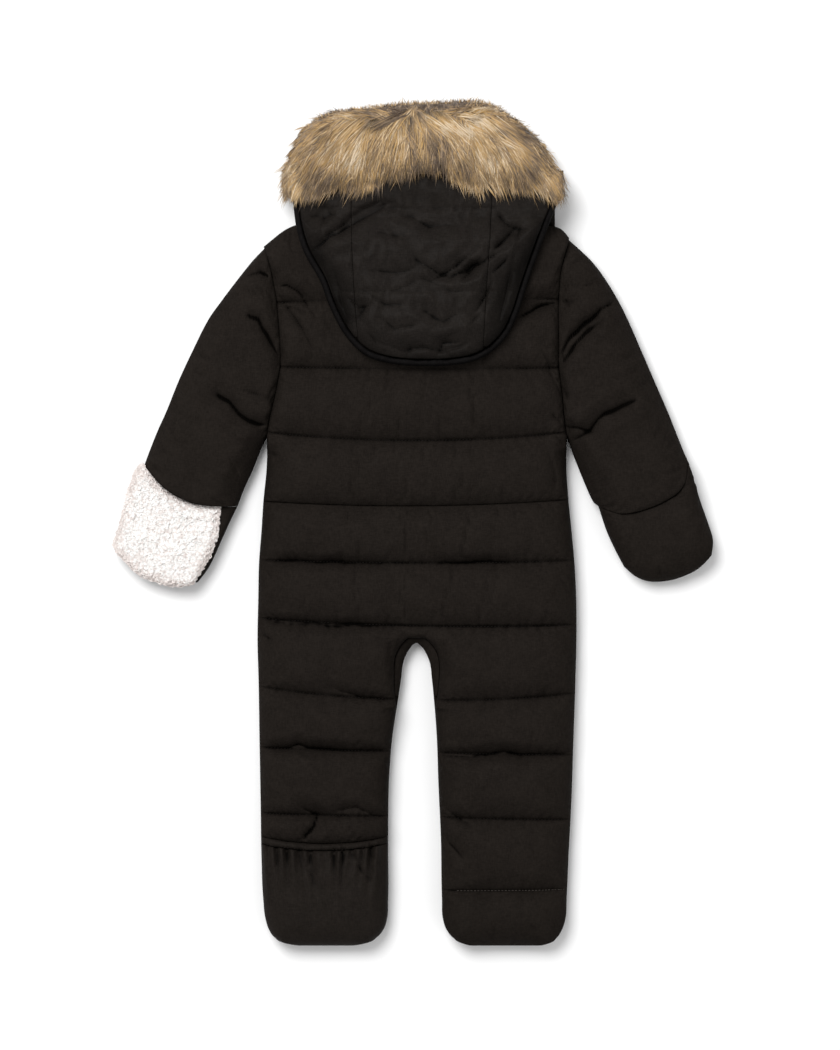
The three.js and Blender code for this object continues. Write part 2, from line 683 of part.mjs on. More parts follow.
const SLEEVE_LEFT = {
  outer: [
    [-159.6, 287.7], [-170.6, 274], [-187.4, 253], [-203.2, 232], [-217.9, 211], [-233.6, 179.6],
    [-248.3, 148], [-260.9, 116.6], [-270.4, 95.5], [-278.8, 74.5], [-284.6, 58.8],
  ],
  inner: [[-155.5, 88.5], [-162.2, 74.5], [-170.6, 53.6], [-180.1, 32.6], [-186.4, 15.8]],
  cuff: [
    [-284.6, 58.8], [-266.2, 37.8], [-250.4, 26.2], [-233.6, 18.9], [-216.8, 15.8], [-204.2, 15.2],
    [-186.4, 15.8],
  ],
};
const SLEEVE_RIGHT = {
  outer: [
    [163.7, 297], [186.4, 274], [202.1, 253], [214.7, 232], [225.2, 211], [238.9, 179.6],
    [252.5, 148], [266.2, 116.6], [274.6, 95.5], [283, 74.5], [287.2, 65.1],
  ],
  inner: [[160.4, 88.5], [169.6, 64], [178, 43], [187.4, 22], [193.7, 15.8]],
  cuff: [
    [287.2, 65.1], [286.4, 51.5], [283, 38.9], [273.5, 27.3], [249.4, 14.7], [221, 7.4],
    [202.1, 11.6], [193.7, 15.8],
  ],
};

function sleeveEdges(side, shape) {
  const outward = side === 'left' ? -1 : 1;
  const top = shape.outer[0][1];
  const bottom = shape.inner[0][1];
  const seam = Array.from({ length: 31 }, (_, i) => {
    const y = mix(top, bottom, i / 30);
    return [edgeX(side, y) + outward * SEAM_GAP, y];
  });
  return {
    start: seam,
    end: smoothPath(shape.cuff, 30),
    first: smoothPath([seam[0], ...shape.outer.slice(1)], 30),
    last: smoothPath([seam[30], ...shape.inner.slice(1)], 30),
  };
}

function sleeve(side, shape) {
  const edges = sleeveEdges(side, shape);
  const place = (across, along) => patchPoint(edges, across, along);
  const widthAt = (along) => Math.hypot(
    place(0, along)[0] - place(1, along)[0],
    place(0, along)[1] - place(1, along)[1],
  );
  const fromEdge = (across, along) => Math.min(across, 1 - across) * widthAt(along);
  const upperZ = ({ x, y, column, row }) => {
    const seams = mix(SEAM_SHARE, 1, roundOff(Math.min(row, 1 - row) * 200, 16));
    const rim = roundOff(fromEdge(column, row), 36);
    const loft = SLEEVE_CROWN * rim * seams - creaseDepth(x, y) * rim;
    return BACK_BOTTOM + EDGE_THICKNESS + Math.max(loft, 0);
  };
  const lowerZ = ({ column, row }) => {
    const seam = FRONT_ROUNDING * SEAM_SHARE + Math.min(row, 1 - row) * 200;
    return underZ(Math.min(fromEdge(column, row), seam));
  };
  const upper = slab(block(SLEEVE_ROWS, SLEEVE_COLUMNS, place, upperZ, flat(BACK_BOTTOM)));
  const lower = slab(block(UNDER_ROWS, SLEEVE_COLUMNS, place, flat(FRONT_TOP), lowerZ));
  const foldRows = UNDER_ROWS.slice(1, -1);
  const foldPlace = (across, along) => place((2 + across * 4) / widthAt(along), along);
  const fold = slab(block(foldRows, [0, 1], foldPlace, flat(BACK_BOTTOM + 1), flat(FRONT_TOP - 1)));
  return upper.add(lower).add(fold);
}

const FLEECE_SHARE = 0.84; // how much of the left cuff the fleece takes up

// A point on the line where a mitten meets its sleeve, moved off the sleeve by the gap
function cuffPoint(shape, share, gap) {
  const curve = smoothPath(shape.cuff, 100);
  const corners = shiftedPath(SLEEVE_COLUMNS.map((column) => curve[Math.round(column * 100)]), gap);
  const table = corners.map(([x, y], i) => ({ share: SLEEVE_COLUMNS[i], x, y }));
  return [tableAt(table, 'share', share, 'x'), tableAt(table, 'share', share, 'y')];
}

const MITT_LEFT = {
  outer: [[-284.9, 58.6], [-291.4, 54.7], [-301.9, 27.3], [-309.2, -4.2], [-315.5, -23.1], [-311.3, -31.5]],
  tip: [[-311.3, -31.5], [-300.8, -44.1], [-287.2, -56.7], [-262, -66.2], [-244, -67.4], [-232.6, -65.1]],
  inner: [[-204.4, 14.9], [-205.3, 4.2], [-206.3, -13.7], [-213.7, -33.6], [-221, -47.2], [-232.6, -65.1]],
  shellInner: [[-186.6, 15.4], [-193.7, 1.1], [-203.2, -19.9], [-212.6, -41], [-219.5, -53], [-228.4, -64.4]],
};
const MITT_ROWS = [0, 0.05, 0.14, 0.3, 0.5, 0.7, 0.86, 0.95, 1];
const FLEECE_CROWN = 17;

function fromEnds(share, length) {
  return Math.min(share, 1 - share) * length;
}

function mittLeftFleece() {
  const edges = {
    start: (share) => cuffPoint(SLEEVE_LEFT, share * FLEECE_SHARE, -SEAM_GAP),
    end: smoothPath(MITT_LEFT.tip, 24),
    first: smoothPath(MITT_LEFT.outer, 24),
    last: smoothPath(MITT_LEFT.inner, 24),
  };
  const place = (across, along) => patchPoint(edges, across, along);
  const height = ({ x, y, column, row }) => {
    const rim = roundOff(Math.min(fromEnds(column, 90), fromEnds(row, 90)) + 2, 20);
    const nap = 0.8 * Math.sin(x * 0.21 + y * 0.11) * Math.sin(y * 0.19 - x * 0.07);
    return BACK_BOTTOM + rim * (FLEECE_CROWN + nap);
  };
  const shared = SLEEVE_COLUMNS.map((share) => share / FLEECE_SHARE).filter((share) => share < 0.93);
  const columns = [...shared, 0.985, 1];
  return slab(block(MITT_ROWS, columns, place, height, flat(BACK_BOTTOM)));
}

function mittLeftShell() {
  const whole = {
    start: (share) => cuffPoint(SLEEVE_LEFT, share, -SEAM_GAP),
    end: smoothPath([...MITT_LEFT.tip, [-228.4, -64.4]], 24),
    first: smoothPath(MITT_LEFT.outer, 24),
    last: smoothPath(MITT_LEFT.shellInner, 24),
  };
  const away = SEAM_GAP + 0.1;
  const strip = {
    start: (share) => cuffPoint(SLEEVE_LEFT, mix(FLEECE_SHARE + away / 110, 1, share), -SEAM_GAP),
    end: [[-232.6 + away, -65.3], [-228.4, -64.4]],
    first: smoothPath(MITT_LEFT.inner.map(([x, y]) => [x + away, y - away * 0.5]), 24),
    last: smoothPath(MITT_LEFT.shellInner, 24),
  };
  const wholePlace = (across, along) => patchPoint(whole, across, along);
  const stripPlace = (across, along) => patchPoint(strip, across, along);
  const wholeZ = ({ column, row }) => underZ(Math.min(fromEnds(column, 100), fromEnds(row, 85)));
  const stripZ = ({ column }) => BACK_BOTTOM + EDGE_THICKNESS + 8 * roundOff((1 - column) * 16, 14);
  const under = slab(block(MITT_ROWS, SLEEVE_COLUMNS, wholePlace, flat(FRONT_TOP), wholeZ));
  const edge = slab(block(MITT_ROWS, [0, 0.3, 0.6, 0.85, 1], stripPlace, stripZ, flat(FRONT_TOP - 1)));
  return under.add(edge);
}

function mittRight() {
  const edges = {
    start: (share) => cuffPoint(SLEEVE_RIGHT, share, SEAM_GAP),
    end: smoothPath([
      [312.4, -36.8], [303, -47], [292, -54.5], [272, -62], [250, -64], [234, -59], [221, -48.3],
    ], 30),
    first: smoothPath([
      [287.4, 64.7], [294.5, 43.1], [300.8, 22.1], [308.2, 1.1], [314.5, -19.9], [312.4, -36.8],
    ], 30),
    last: smoothPath([[193.9, 15.4], [202.1, -9.5], [211.6, -30.5], [221, -48.3]], 30),
  };
  const place = (across, along) => patchPoint(edges, across, along);
  const inset = ({ column, row }) => Math.min(fromEnds(column, 105), (1 - row) * 85, 12 + row * 85);
  const upperZ = (at) => {
    const ripple = at.column < 0.1 ? 1.2 * Math.sin(at.row * 22) : 0;
    return BACK_BOTTOM + EDGE_THICKNESS + (SLEEVE_CROWN - 1 + ripple) * roundOff(inset(at), 26);
  };
  const lowerZ = (at) => underZ(inset(at));
  return slab(block(MITT_ROWS, SLEEVE_COLUMNS, place, upperZ, lowerZ));
}

// Hood

const HOOD_ROW_YS = [
  HOOD_TOP_Y, 350, 339, 331, 326.6, 321, 306, 288, 268, 252, 244, 239.4, 234, 222, 206, 190,
];
const ROWS_OVER_NECK = 3; // the first rows, where the hood's sides come down past the neck
const HOOD_CREASES = [
  { from: [-99, 279], to: [-55, 307], width: 8, depth: 4 },
  { from: [-55, 307], to: [-36, 332], width: 7, depth: 3 },
  { from: [88, 250], to: [104, 300], width: 7, depth: 3 },
  { from: [-15, 172], to: [0, 186], width: 6, depth: 3 },
  { from: [38, 170], to: [48, 184], width: 6, depth: 2.5 },
];

function hoodSide(path, side, y) {
  const middle = Math.floor(path.length / 2);
  const half = side === 'left' ? path.slice(0, middle) : path.slice(middle).reverse();
  return tableAt(half.map(([px, py]) => ({ x: px, y: py })), 'y', y, 'x');
}

function hoodCrownY(x) {
  const crown = HOOD_INNER.filter(([, y]) => y < 215).map(([px, py]) => ({ x: px, y: py }));
  return tableAt(crown, 'x', x, 'y');
}

function hoodZ({ x, y, i, edge }) {
  const rim = roundOff(pathDistance(x, y, HOOD_OUTLINE) - BINDING_WIDTH + 1.5, 36);
  const stitched = [326.6, 239.4].reduce((sum, line) => sum + 2.6 * Math.exp(-(((y - line) / 5) ** 2)), 0);
  const seam = 3 * Math.exp(-((edge / 5) ** 2));
  const creased = HOOD_CREASES.reduce((sum, { from, to, width, depth }) => {
    const away = segmentDistance(x, y, from, to) / width;
    return sum + depth * Math.exp(-away * away);
  }, 0);
  const loft = HOOD_LOFT * rim - (stitched + seam + creased) * rim;
  const underFur = HOOD_UNDER_FUR + (i < 3 ? 0 : Math.max(0, 315 - y) * 0.35);
  return Math.min(HOOD_BOTTOM + EDGE_THICKNESS + Math.max(loft, 0), underFur);
}

function hoodUnder({ i }) {
  return i < ROWS_OVER_NECK ? BACK_BOTTOM : HOOD_BOTTOM;
}

function hoodSidePanel(side) {
  const seam = side === 'left' ? HOOD_SEAM_LEFT : HOOD_SEAM_RIGHT;
  const inward = side === 'left' ? -SEAM_GAP / 2 : SEAM_GAP / 2;
  const tipY = seam[seam.length - 1].y + 6;
  const top = HOOD_TOP_Y;
  const place = (across, row) => {
    const y = mix(top, tipY, (top - row) / (top - 190));
    const seamX = tableAt(seam, 'y', y, 'x') + inward;
    const outer = hoodSide(HOOD_INNER, side, y);
    return side === 'left' ? [mix(outer, seamX, across), y] : [mix(seamX, outer, across), y];
  };
  const height = ({ x, y, i }) => hoodZ({ x, y, i, edge: Math.abs(x - tableAt(seam, 'y', y, 'x')) });
  const columns = [0, 0.08, 0.24, 0.45, 0.66, 0.86, 1];
  const ordered = side === 'left' ? columns : columns.map((column) => 1 - column).reverse();
  return slab(block(HOOD_ROW_YS, ordered, place, height, hoodUnder));
}

function hoodCentre() {
  const top = HOOD_TOP_Y;
  const place = (across, row) => {
    const down = (top - row) / (top - 190);
    let x = mix(-60, 72, across);
    let y = row;
    for (let turn = 0; turn < 4; turn += 1) {
      y = mix(top, hoodCrownY(x), down);
      const left = tableAt(HOOD_SEAM_LEFT, 'y', y, 'x') + SEAM_GAP / 2;
      const right = tableAt(HOOD_SEAM_RIGHT, 'y', y, 'x') - SEAM_GAP / 2;
      x = mix(left, right, across);
    }
    return [x, y];
  };
  const height = ({ x, y, i }) => {
    const left = Math.abs(x - tableAt(HOOD_SEAM_LEFT, 'y', y, 'x'));
    const right = Math.abs(x - tableAt(HOOD_SEAM_RIGHT, 'y', y, 'x'));
    return hoodZ({ x, y, i, edge: Math.min(left, right) });
  };
  const columns = [0, 0.04, 0.13, 0.27, 0.42, 0.58, 0.73, 0.87, 0.96, 1];
  return slab(block(HOOD_ROW_YS, columns, place, height, hoodUnder));
}

function hoodBinding() {
  const offsets = [0, 0.12, 0.45, 0.8, 1];
  const heights = [41, 49.5, 53, 51.5, 48.5];
  const paths = offsets.map((share) => shiftedPath(HOOD_OUTLINE, share * BINDING_WIDTH));
  const stations = HOOD_OUTLINE.map((_, i) => i).filter((i) => i % 2 === 0);
  const place = (_, station, j) => paths[j][station];
  return slab(block(stations, offsets, place, ({ j }) => heights[j], flat(NAPE_BOTTOM)));
}

function hoodNape() {
  const place = (across, y) => {
    const left = hoodSide(HOOD_INNER, 'left', y) + 1;
    const right = hoodSide(HOOD_INNER, 'right', y) - 1;
    return [mix(left, right, across), y];
  };
  const rows = [322, 300, 275, 250, 225, 205, 190, 181, 175.5, 173];
  return slab(block(rows, [0, 0.5, 1], place, flat(NAPE_TOP), flat(NAPE_BOTTOM)));
}

function hoodChin() {
  const columns = [-125, -110, -92, -73.5, -73, -62, -42, -20, 2, 24, 46, 66, 77, 77.5, 95, 115, 138, 148];
  const lower = (x) => tableAt(FRONT_NECKLINE, 'x', x, 'y') + SEAM_GAP + 1;
  const place = (x, down) => [x, mix(HOOD_TOP_Y - 0.1, lower(x), down)];
  const height = ({ x, y }) => underZ(Math.min(x + 125, 148 - x, FRONT_ROUNDING * SEAM_SHARE + y - lower(x)));
  return slab(block([0, 0.4, 0.75, 0.93, 1], columns, place, flat(FRONT_TOP), height));
}

// Fur trim: a soft roll round the hood's opening, whose lower fringe lies over the hood

const FUR_TOP = smoothPath([
  [-143.3, 347], [-141.5, 366], [-135, 389], [-123, 412], [-104, 429], [-73, 437], [-36, 440],
  [2, 441.5], [39, 443], [79, 445], [105, 440], [131, 427.5], [148, 404], [156.5, 379],
  [161.2, 347],
], 80)
  .map(([x, y]) => ({ x, y }));
const FRINGE = [
  { x: -143.3, y: 340 },
  { x: -136, y: 329 },
  { x: -123, y: 322.5 },
  { x: -89, y: 329 },
  { x: -65, y: 341 },
  { x: -36, y: 351 },
  { x: 2, y: 355.5 },
  { x: 39, y: 353.5 },
  { x: 69, y: 347.5 },
  { x: 95, y: 341 },
  { x: 126, y: 332 },
  { x: 149, y: 329 },
  { x: 161.2, y: 340 },
];
const FUR_FOLD_Y = HOOD_TOP_Y + SEAM_GAP;
const FUR_PROFILE = [
  { down: 0, height: 3 },
  { down: 0.05, height: 18 },
  { down: 0.15, height: 33 },
  { down: 0.32, height: 46 },
  { down: 0.55, height: 53 },
  { down: 0.8, height: FUR_HEIGHT - BACK_BOTTOM },
  { down: 1, height: 53 },
  { down: 1.0005, height: 52.8 },
  { down: 1.3, height: 49.5 },
  { down: 1.7, height: 45 },
  { down: 2, height: 41 },
];
const HOOD_EDGE_LEFT = -131.5;
const HOOD_EDGE_RIGHT = 156.5;
const FUR_COLUMNS = [
  -143, -140, -136.5, -132.5, -131.5, -128, -123, -117, -110, -103, -95, -87, -78, -69, -60, -51, -42,
  -32, -22, -12,
  -2, 8, 18, 28, 38, 48, 58, 67, 76, 85, 94, 103, 111, 119, 127, 135, 142, 148, 153, 156.5, 157.5, 159.5, 161,
];

function tuftWave(x) {
  return Math.sin(x * 0.33) * 0.6 + Math.sin(x * 0.17 + 2) * 0.4;
}

function furEdgeY(x) {
  const side = x < 0 ? FUR_TOP.slice(0, 41) : FUR_TOP.slice(40);
  return Math.max(tableAt(side, 'x', x, 'y') + 3 * tuftWave(x), FUR_FOLD_Y + 8);
}

function furPlace(x, down) {
  if (down <= 1) return [x, mix(furEdgeY(x), FUR_FOLD_Y + 0.3, down)];
  return [x, mix(FUR_FOLD_Y, tableAt(FRINGE, 'x', x, 'y') + 4 * tuftWave(x * 1.4 + 3), down - 1)];
}

function furTrimTop() {
  const height = ({ x, column, row }) => {
    const last = FUR_COLUMNS[FUR_COLUMNS.length - 1];
    const ends = roundOff(Math.min(column - FUR_COLUMNS[0], last - column) + 1.5, 44);
    const tufts = 1 + 0.05 * tuftWave(x * 1.2 + row * 2);
    const tall = tableAt(FUR_PROFILE, 'down', row, 'height') * tufts * ends;
    const overHood = column > HOOD_EDGE_LEFT - 0.5 && column < HOOD_EDGE_RIGHT + 0.5;
    const floor = overHood ? FRINGE_BOTTOM + 2 - BACK_BOTTOM : 3;
    return BACK_BOTTOM + Math.max(tall, row > 0.9 ? floor : 3);
  };
  const under = ({ column, row }) => {
    const overHood = column > HOOD_EDGE_LEFT - 0.5 && column < HOOD_EDGE_RIGHT + 0.5;
    return overHood && row > 1 ? FRINGE_BOTTOM : BACK_BOTTOM;
  };
  return slab(block(FUR_PROFILE.map(({ down }) => down), FUR_COLUMNS, furPlace, height, under));
}

function furTrimChin() {
  const columns = FUR_COLUMNS.filter((x, i) => i % 2 === 0 && x > -140 && x < 158);
  const height = ({ column, row }) => {
    const fromEdge = Math.min(column - columns[0], columns[columns.length - 1] - column, row * 75);
    return underZ(Math.min(fromEdge, FRONT_ROUNDING * SEAM_SHARE + (1 - row) * 75));
  };
  return slab(block([0, 0.06, 0.2, 0.6, 0.9, 1], columns, furPlace, flat(FRONT_TOP), height));
}

// The suit

const suit = new THREE.Group();
suit.add(
  piece('back_yoke', backYoke(), 'shell'),
  piece('seat_and_legs', seatAndLegs(), 'shell'),
  piece('inseam_gusset', inseamGusset(), 'shell'),
  piece('front_left', frontPanel('left'), 'shell'),
  piece('front_right', frontPanel('right'), 'shell'),
  piece('front_flap', frontFlap(), 'shell'),
  piece('sleeve_left', sleeve('left', SLEEVE_LEFT), 'shell'),
  piece('sleeve_right', sleeve('right', SLEEVE_RIGHT), 'shell'),
  piece('mitt_left_fleece', mittLeftFleece(), 'fleece'),
  piece('mitt_left_shell', mittLeftShell(), 'shell'),
  piece('mitt_right', mittRight(), 'shell'),
  piece('foot_cover_left', footCoverLeft(), 'shell'),
  piece('foot_casing_left', footCasingLeft(), 'shell'),
  piece('foot_cover_right', footCoverRight(), 'shell'),
  piece('hood_centre', hoodCentre(), 'shell'),
  piece('hood_side_left', hoodSidePanel('left'), 'shell'),
  piece('hood_side_right', hoodSidePanel('right'), 'shell'),
  piece('hood_binding', hoodBinding(), 'binding'),
  piece('hood_nape', hoodNape(), 'shell'),
  piece('hood_chin', hoodChin(), 'shell'),
  piece('fur_trim_top', furTrimTop(), 'fur'),
  piece('fur_trim_chin', furTrimChin(), 'fur'),
);

export default suit;
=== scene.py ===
"""A toddler's quilted snowsuit laid face down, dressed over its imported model.

Shapes are worked out in millimetres in the frame's own axes, and put into meshes in metres: +X is the
right side as seen from above, +Y runs up to the hood and +Z is up.
"""

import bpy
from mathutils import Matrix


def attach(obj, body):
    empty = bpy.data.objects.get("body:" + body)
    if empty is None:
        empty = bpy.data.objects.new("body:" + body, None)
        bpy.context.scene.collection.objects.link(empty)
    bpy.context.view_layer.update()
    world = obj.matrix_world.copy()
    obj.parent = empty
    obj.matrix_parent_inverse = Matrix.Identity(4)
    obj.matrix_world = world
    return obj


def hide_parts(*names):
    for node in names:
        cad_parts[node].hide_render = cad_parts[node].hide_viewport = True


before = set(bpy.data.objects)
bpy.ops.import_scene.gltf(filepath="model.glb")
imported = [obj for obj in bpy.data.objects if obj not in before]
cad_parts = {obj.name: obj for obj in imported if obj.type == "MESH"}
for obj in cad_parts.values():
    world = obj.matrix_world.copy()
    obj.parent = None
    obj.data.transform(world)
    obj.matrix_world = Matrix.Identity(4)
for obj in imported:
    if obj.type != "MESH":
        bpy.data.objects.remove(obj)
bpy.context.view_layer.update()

import bmesh
import bpy
import numpy as np
from bpy.props import FloatProperty, FloatVectorProperty, IntProperty, PointerProperty

bl_info = {
    "name": "Toddler Snowsuit",
    "version": (1, 0, 0),
    "blender": (4, 5, 0),
    "location": "View3D > Sidebar > Snowsuit",
    "description": "Builds a quilted toddler snowsuit with a fur-trimmed hood, laid flat",
    "category": "Add Mesh",
}

MM = 0.001

# Layers, in millimetres
SEAM_GAP = 0.3
LAYER_MEETING = 15
FRONT_TOP = LAYER_MEETING - SEAM_GAP / 2
BACK_BOTTOM = LAYER_MEETING + SEAM_GAP / 2
EDGE_THICKNESS = 1.6
BACK_CROWN = 24
SLEEVE_CROWN = 21
BACK_ROUNDING = 44
FRONT_ROUNDING = 15
STITCH_SHARE = 0.66
SEAM_SHARE = 0.72

# Torso
CENTRE_X = 2
UNDERARM_Y = 90
CROTCH_Y = -128
FOOT_END_Y = -447.3

# Hood and fur
HOOD_BED = 33.6
NAPE_BOTTOM = 34.2
NAPE_TOP = 45.7
HOOD_BOTTOM = 46
HOOD_LOFT = 17
HOOD_TOP_Y = 362
HOOD_UNDER_FUR = 54
HOOD_CLOTH = 1.8
BINDING_WIDTH = 6
FUR_HEIGHT = 70
FRINGE_BOTTOM = 54.8

# Outline rows of the body: height along the body, left edge, right edge
SIDES = {
    "y": (90, 54, 22, -10, -44, -83, -125, -167, -230, -293, -356, -398, -419, -430, -438, -444, FOOT_END_Y),
    "left": (-154.9, -155.9, -159.1, -161.2, -163.8, -164.6, -165.4, -164.3, -163.3, -162.2, -161.2, -159.4,
             -157, -153.5, -148, -138, -122),
    "right": (160.1, 160.1, 162.2, 165.4, 168.5, 170.4, 170.6, 169.6, 167.5, 165.4, 162.2, 160.3,
              159.1, 155.7, 150.5, 142, 126),
}

# Inner edges of the legs
INSEAMS = {
    "y": (CROTCH_Y, -131, -136, -146, -167, -188, -230, -272, -335, -398, -419, -430, -438, -444, FOOT_END_Y),
    "left": (1.8, -2.5, -6.3, -11, -14.2, -17.3, -23.6, -26.8, -27.8, -27.8, -28.9, -32.4, -39, -49, -65),
    "right": (2.4, 6.5, 10.3, 15.2, 18.4, 20.5, 23.6, 25, 27.8, 28.9, 29.9, 33.5, 40, 50, 66),
}

# Seam of the gusset between the legs
GUSSET_SEAMS = {
    "y": (-123.3, -127, -133, -143, -158, -173, -186, -198),
    "left": (-7, -11.5, -16, -20.5, -21.5, -21.5, -20.6, -18.8),
    "right": (11, 15.5, 21, 25.3, 26.6, 25.4, 24, 21.2),
}

# Armhole seams, from the shoulder to the underarm
ARMHOLES = {
    "y": (300, 290, 282, 264, 238, 198, 160, 134, 106, 88),
    "left": (-159.4, -159.2, -155.7, -150.6, -145.9, -141.7, -141.2, -145.6, -152.2, -155),
    "right": (163.3, 160.8, 158.4, 153.9, 151.8, 150.8, 151.8, 154.8, 157.2, 159.8),
}

# Top edges of the back and of the fronts, across the shoulders and the neck
BACK_NECKLINE = {
    "x": (-159.2, -150.7, -137, -105, -73, -36, 2, 39, 77, 110, 140, 156, 163.3),
    "y": (288, 295.1, 305.6, 316.5, 324.4, 309.8, 303.4, 309.8, 324.4, 318.5, 311, 305.6, 297.2),
}
FRONT_NECKLINE = {
    "x": (-159.2, -150.7, -137, -105, -73, -62, -42, -20, 2, 24, 46, 66, 77, 110, 140, 156, 163.3),
    "y": (288, 295.1, 305.6, 316.5, 324.4, 303, 280, 269, 265.7, 269, 280, 303, 324.4, 318.5, 311, 305.6,
          297.2),
}

# Quilting lines across the body: heights at the left edge, the middle and the right edge
QUILT_LINES = {
    "nape": (228, 234, 232),
    "blade": (162, 160, 161),
    "chest": (94, 84.5, 94),
    "waist": (21, 15.8, 23),
    "seat": (-41, -44, -41.5),
    "hip": (-102, -110, -109),
    "thigh": (-174, -188, -181),
    "knee": (-238, -243, -246),
    "shin": (-307, -311, -314),
    "ankle": (-386, -388, -387),
    "mouth": (-332, -338.5, -331.5),
}
LINE_LEFT_X = -164
LINE_RIGHT_X = 169

# The main creases: the line each follows, half its width and its depth
CREASES = [
    {"line": [(-161, -239), (-133, -238), (-122, -234), (-111, -239), (-66, -242), (-28, -240)],
     "width": 3.6, "depth": 6},
    {"line": [(26, -247), (57, -248), (93, -242), (111, -246), (164, -244)], "width": 3.6, "depth": 6},
    {"line": [(31, -250), (50, -256)], "width": 3, "depth": 2.6},
    {"line": [(-146, -43), (-120, -41), (-101, -45), (-77, -42), (-73, -45), (-34, -45)],
     "width": 3, "depth": 4.4},
    {"line": [(27, -44), (69, -43), (90, -42), (100, -45)], "width": 3, "depth": 4},
    {"line": [(-157, -99), (-150, -107), (-120, -108), (-89, -111), (-57, -109), (-26, -112)],
     "width": 3.2, "depth": 3.8},
    {"line": [(-164, -116), (-151, -125)], "width": 3.6, "depth": 4},
    {"line": [(-86, -174), (-73, -180), (-60, -184), (-23, -188)], "width": 3, "depth": 3},
    {"line": [(-116, -301), (-101, -309), (-106, -320), (-118, -334)], "width": 4.6, "depth": 8},
    {"line": [(-81, -305), (-61, -299), (-45, -309), (-32, -312)], "width": 3, "depth": 3.2},
    {"line": [(-147, -313), (-120, -312)], "width": 3, "depth": 2.4},
    {"line": [(30, -300), (42, -309), (60, -322)], "width": 3.6, "depth": 4.4},
    {"line": [(29, -322), (36, -338), (50, -352)], "width": 4, "depth": 4},
    {"line": [(-144, 246), (-133, 247), (-118, 236), (-103, 212)], "width": 3.6, "depth": 5},
    {"line": [(-142, 235), (-123, 211), (-107, 180)], "width": 5, "depth": 4},
    {"line": [(112, 215), (134, 226), (158, 231)], "width": 6.5, "depth": 10},
    {"line": [(-112, 219), (-128, 224), (-143, 219)], "width": 4, "depth": 3.4},
    {"line": [(135, 177), (145, 153), (154, 135)], "width": 4, "depth": 4},
    {"line": [(143, 112), (154, 103)], "width": 5, "depth": 5.5},
    {"line": [(140, 75), (150, 45), (146, 30)], "width": 4, "depth": 1.8},
    {"line": [(-150, 80), (-146, 62)], "width": 5, "depth": 2.4},
    {"line": [(150, -60), (163, -72)], "width": 5, "depth": 2.4},
    {"line": [(-161, -50), (-148, -62)], "width": 4, "depth": 2.6},
    {"line": [(-187, 249), (-174, 258), (-161, 260), (-147, 257)], "width": 4.4, "depth": 7},
    {"line": [(-176, 216), (-165, 211), (-160, 200), (-152, 189), (-142, 172)], "width": 3.8, "depth": 6.5},
    {"line": [(-207, 133), (-194, 124), (-185, 113), (-174, 105), (-154, 101)], "width": 4.8, "depth": 9.5},
    {"line": [(-208, 142), (-182, 136), (-150, 130)], "width": 11, "depth": 3},
    {"line": [(-202, 231), (-183, 237)], "width": 5, "depth": 2},
    {"line": [(216, 234), (197, 222), (186, 212), (175, 203), (164, 193), (153, 177)],
     "width": 4.2, "depth": 8},
    {"line": [(196, 209), (183, 200), (172, 189), (161, 174), (152, 160)], "width": 4, "depth": 6.5},
    {"line": [(230, 126), (219, 122), (204, 114), (192, 105), (186, 96), (163, 83)],
     "width": 4.6, "depth": 8.5},
    {"line": [(156, 98), (172, 98), (187, 94)], "width": 3.6, "depth": 5},
    {"line": [(156, 243), (185, 248)], "width": 5, "depth": 1.8},
    {"line": [(252, 150), (240, 144)], "width": 5, "depth": 1.4},
    {"line": [(-196, 72), (-184, 46)], "width": 4, "depth": 2},
]
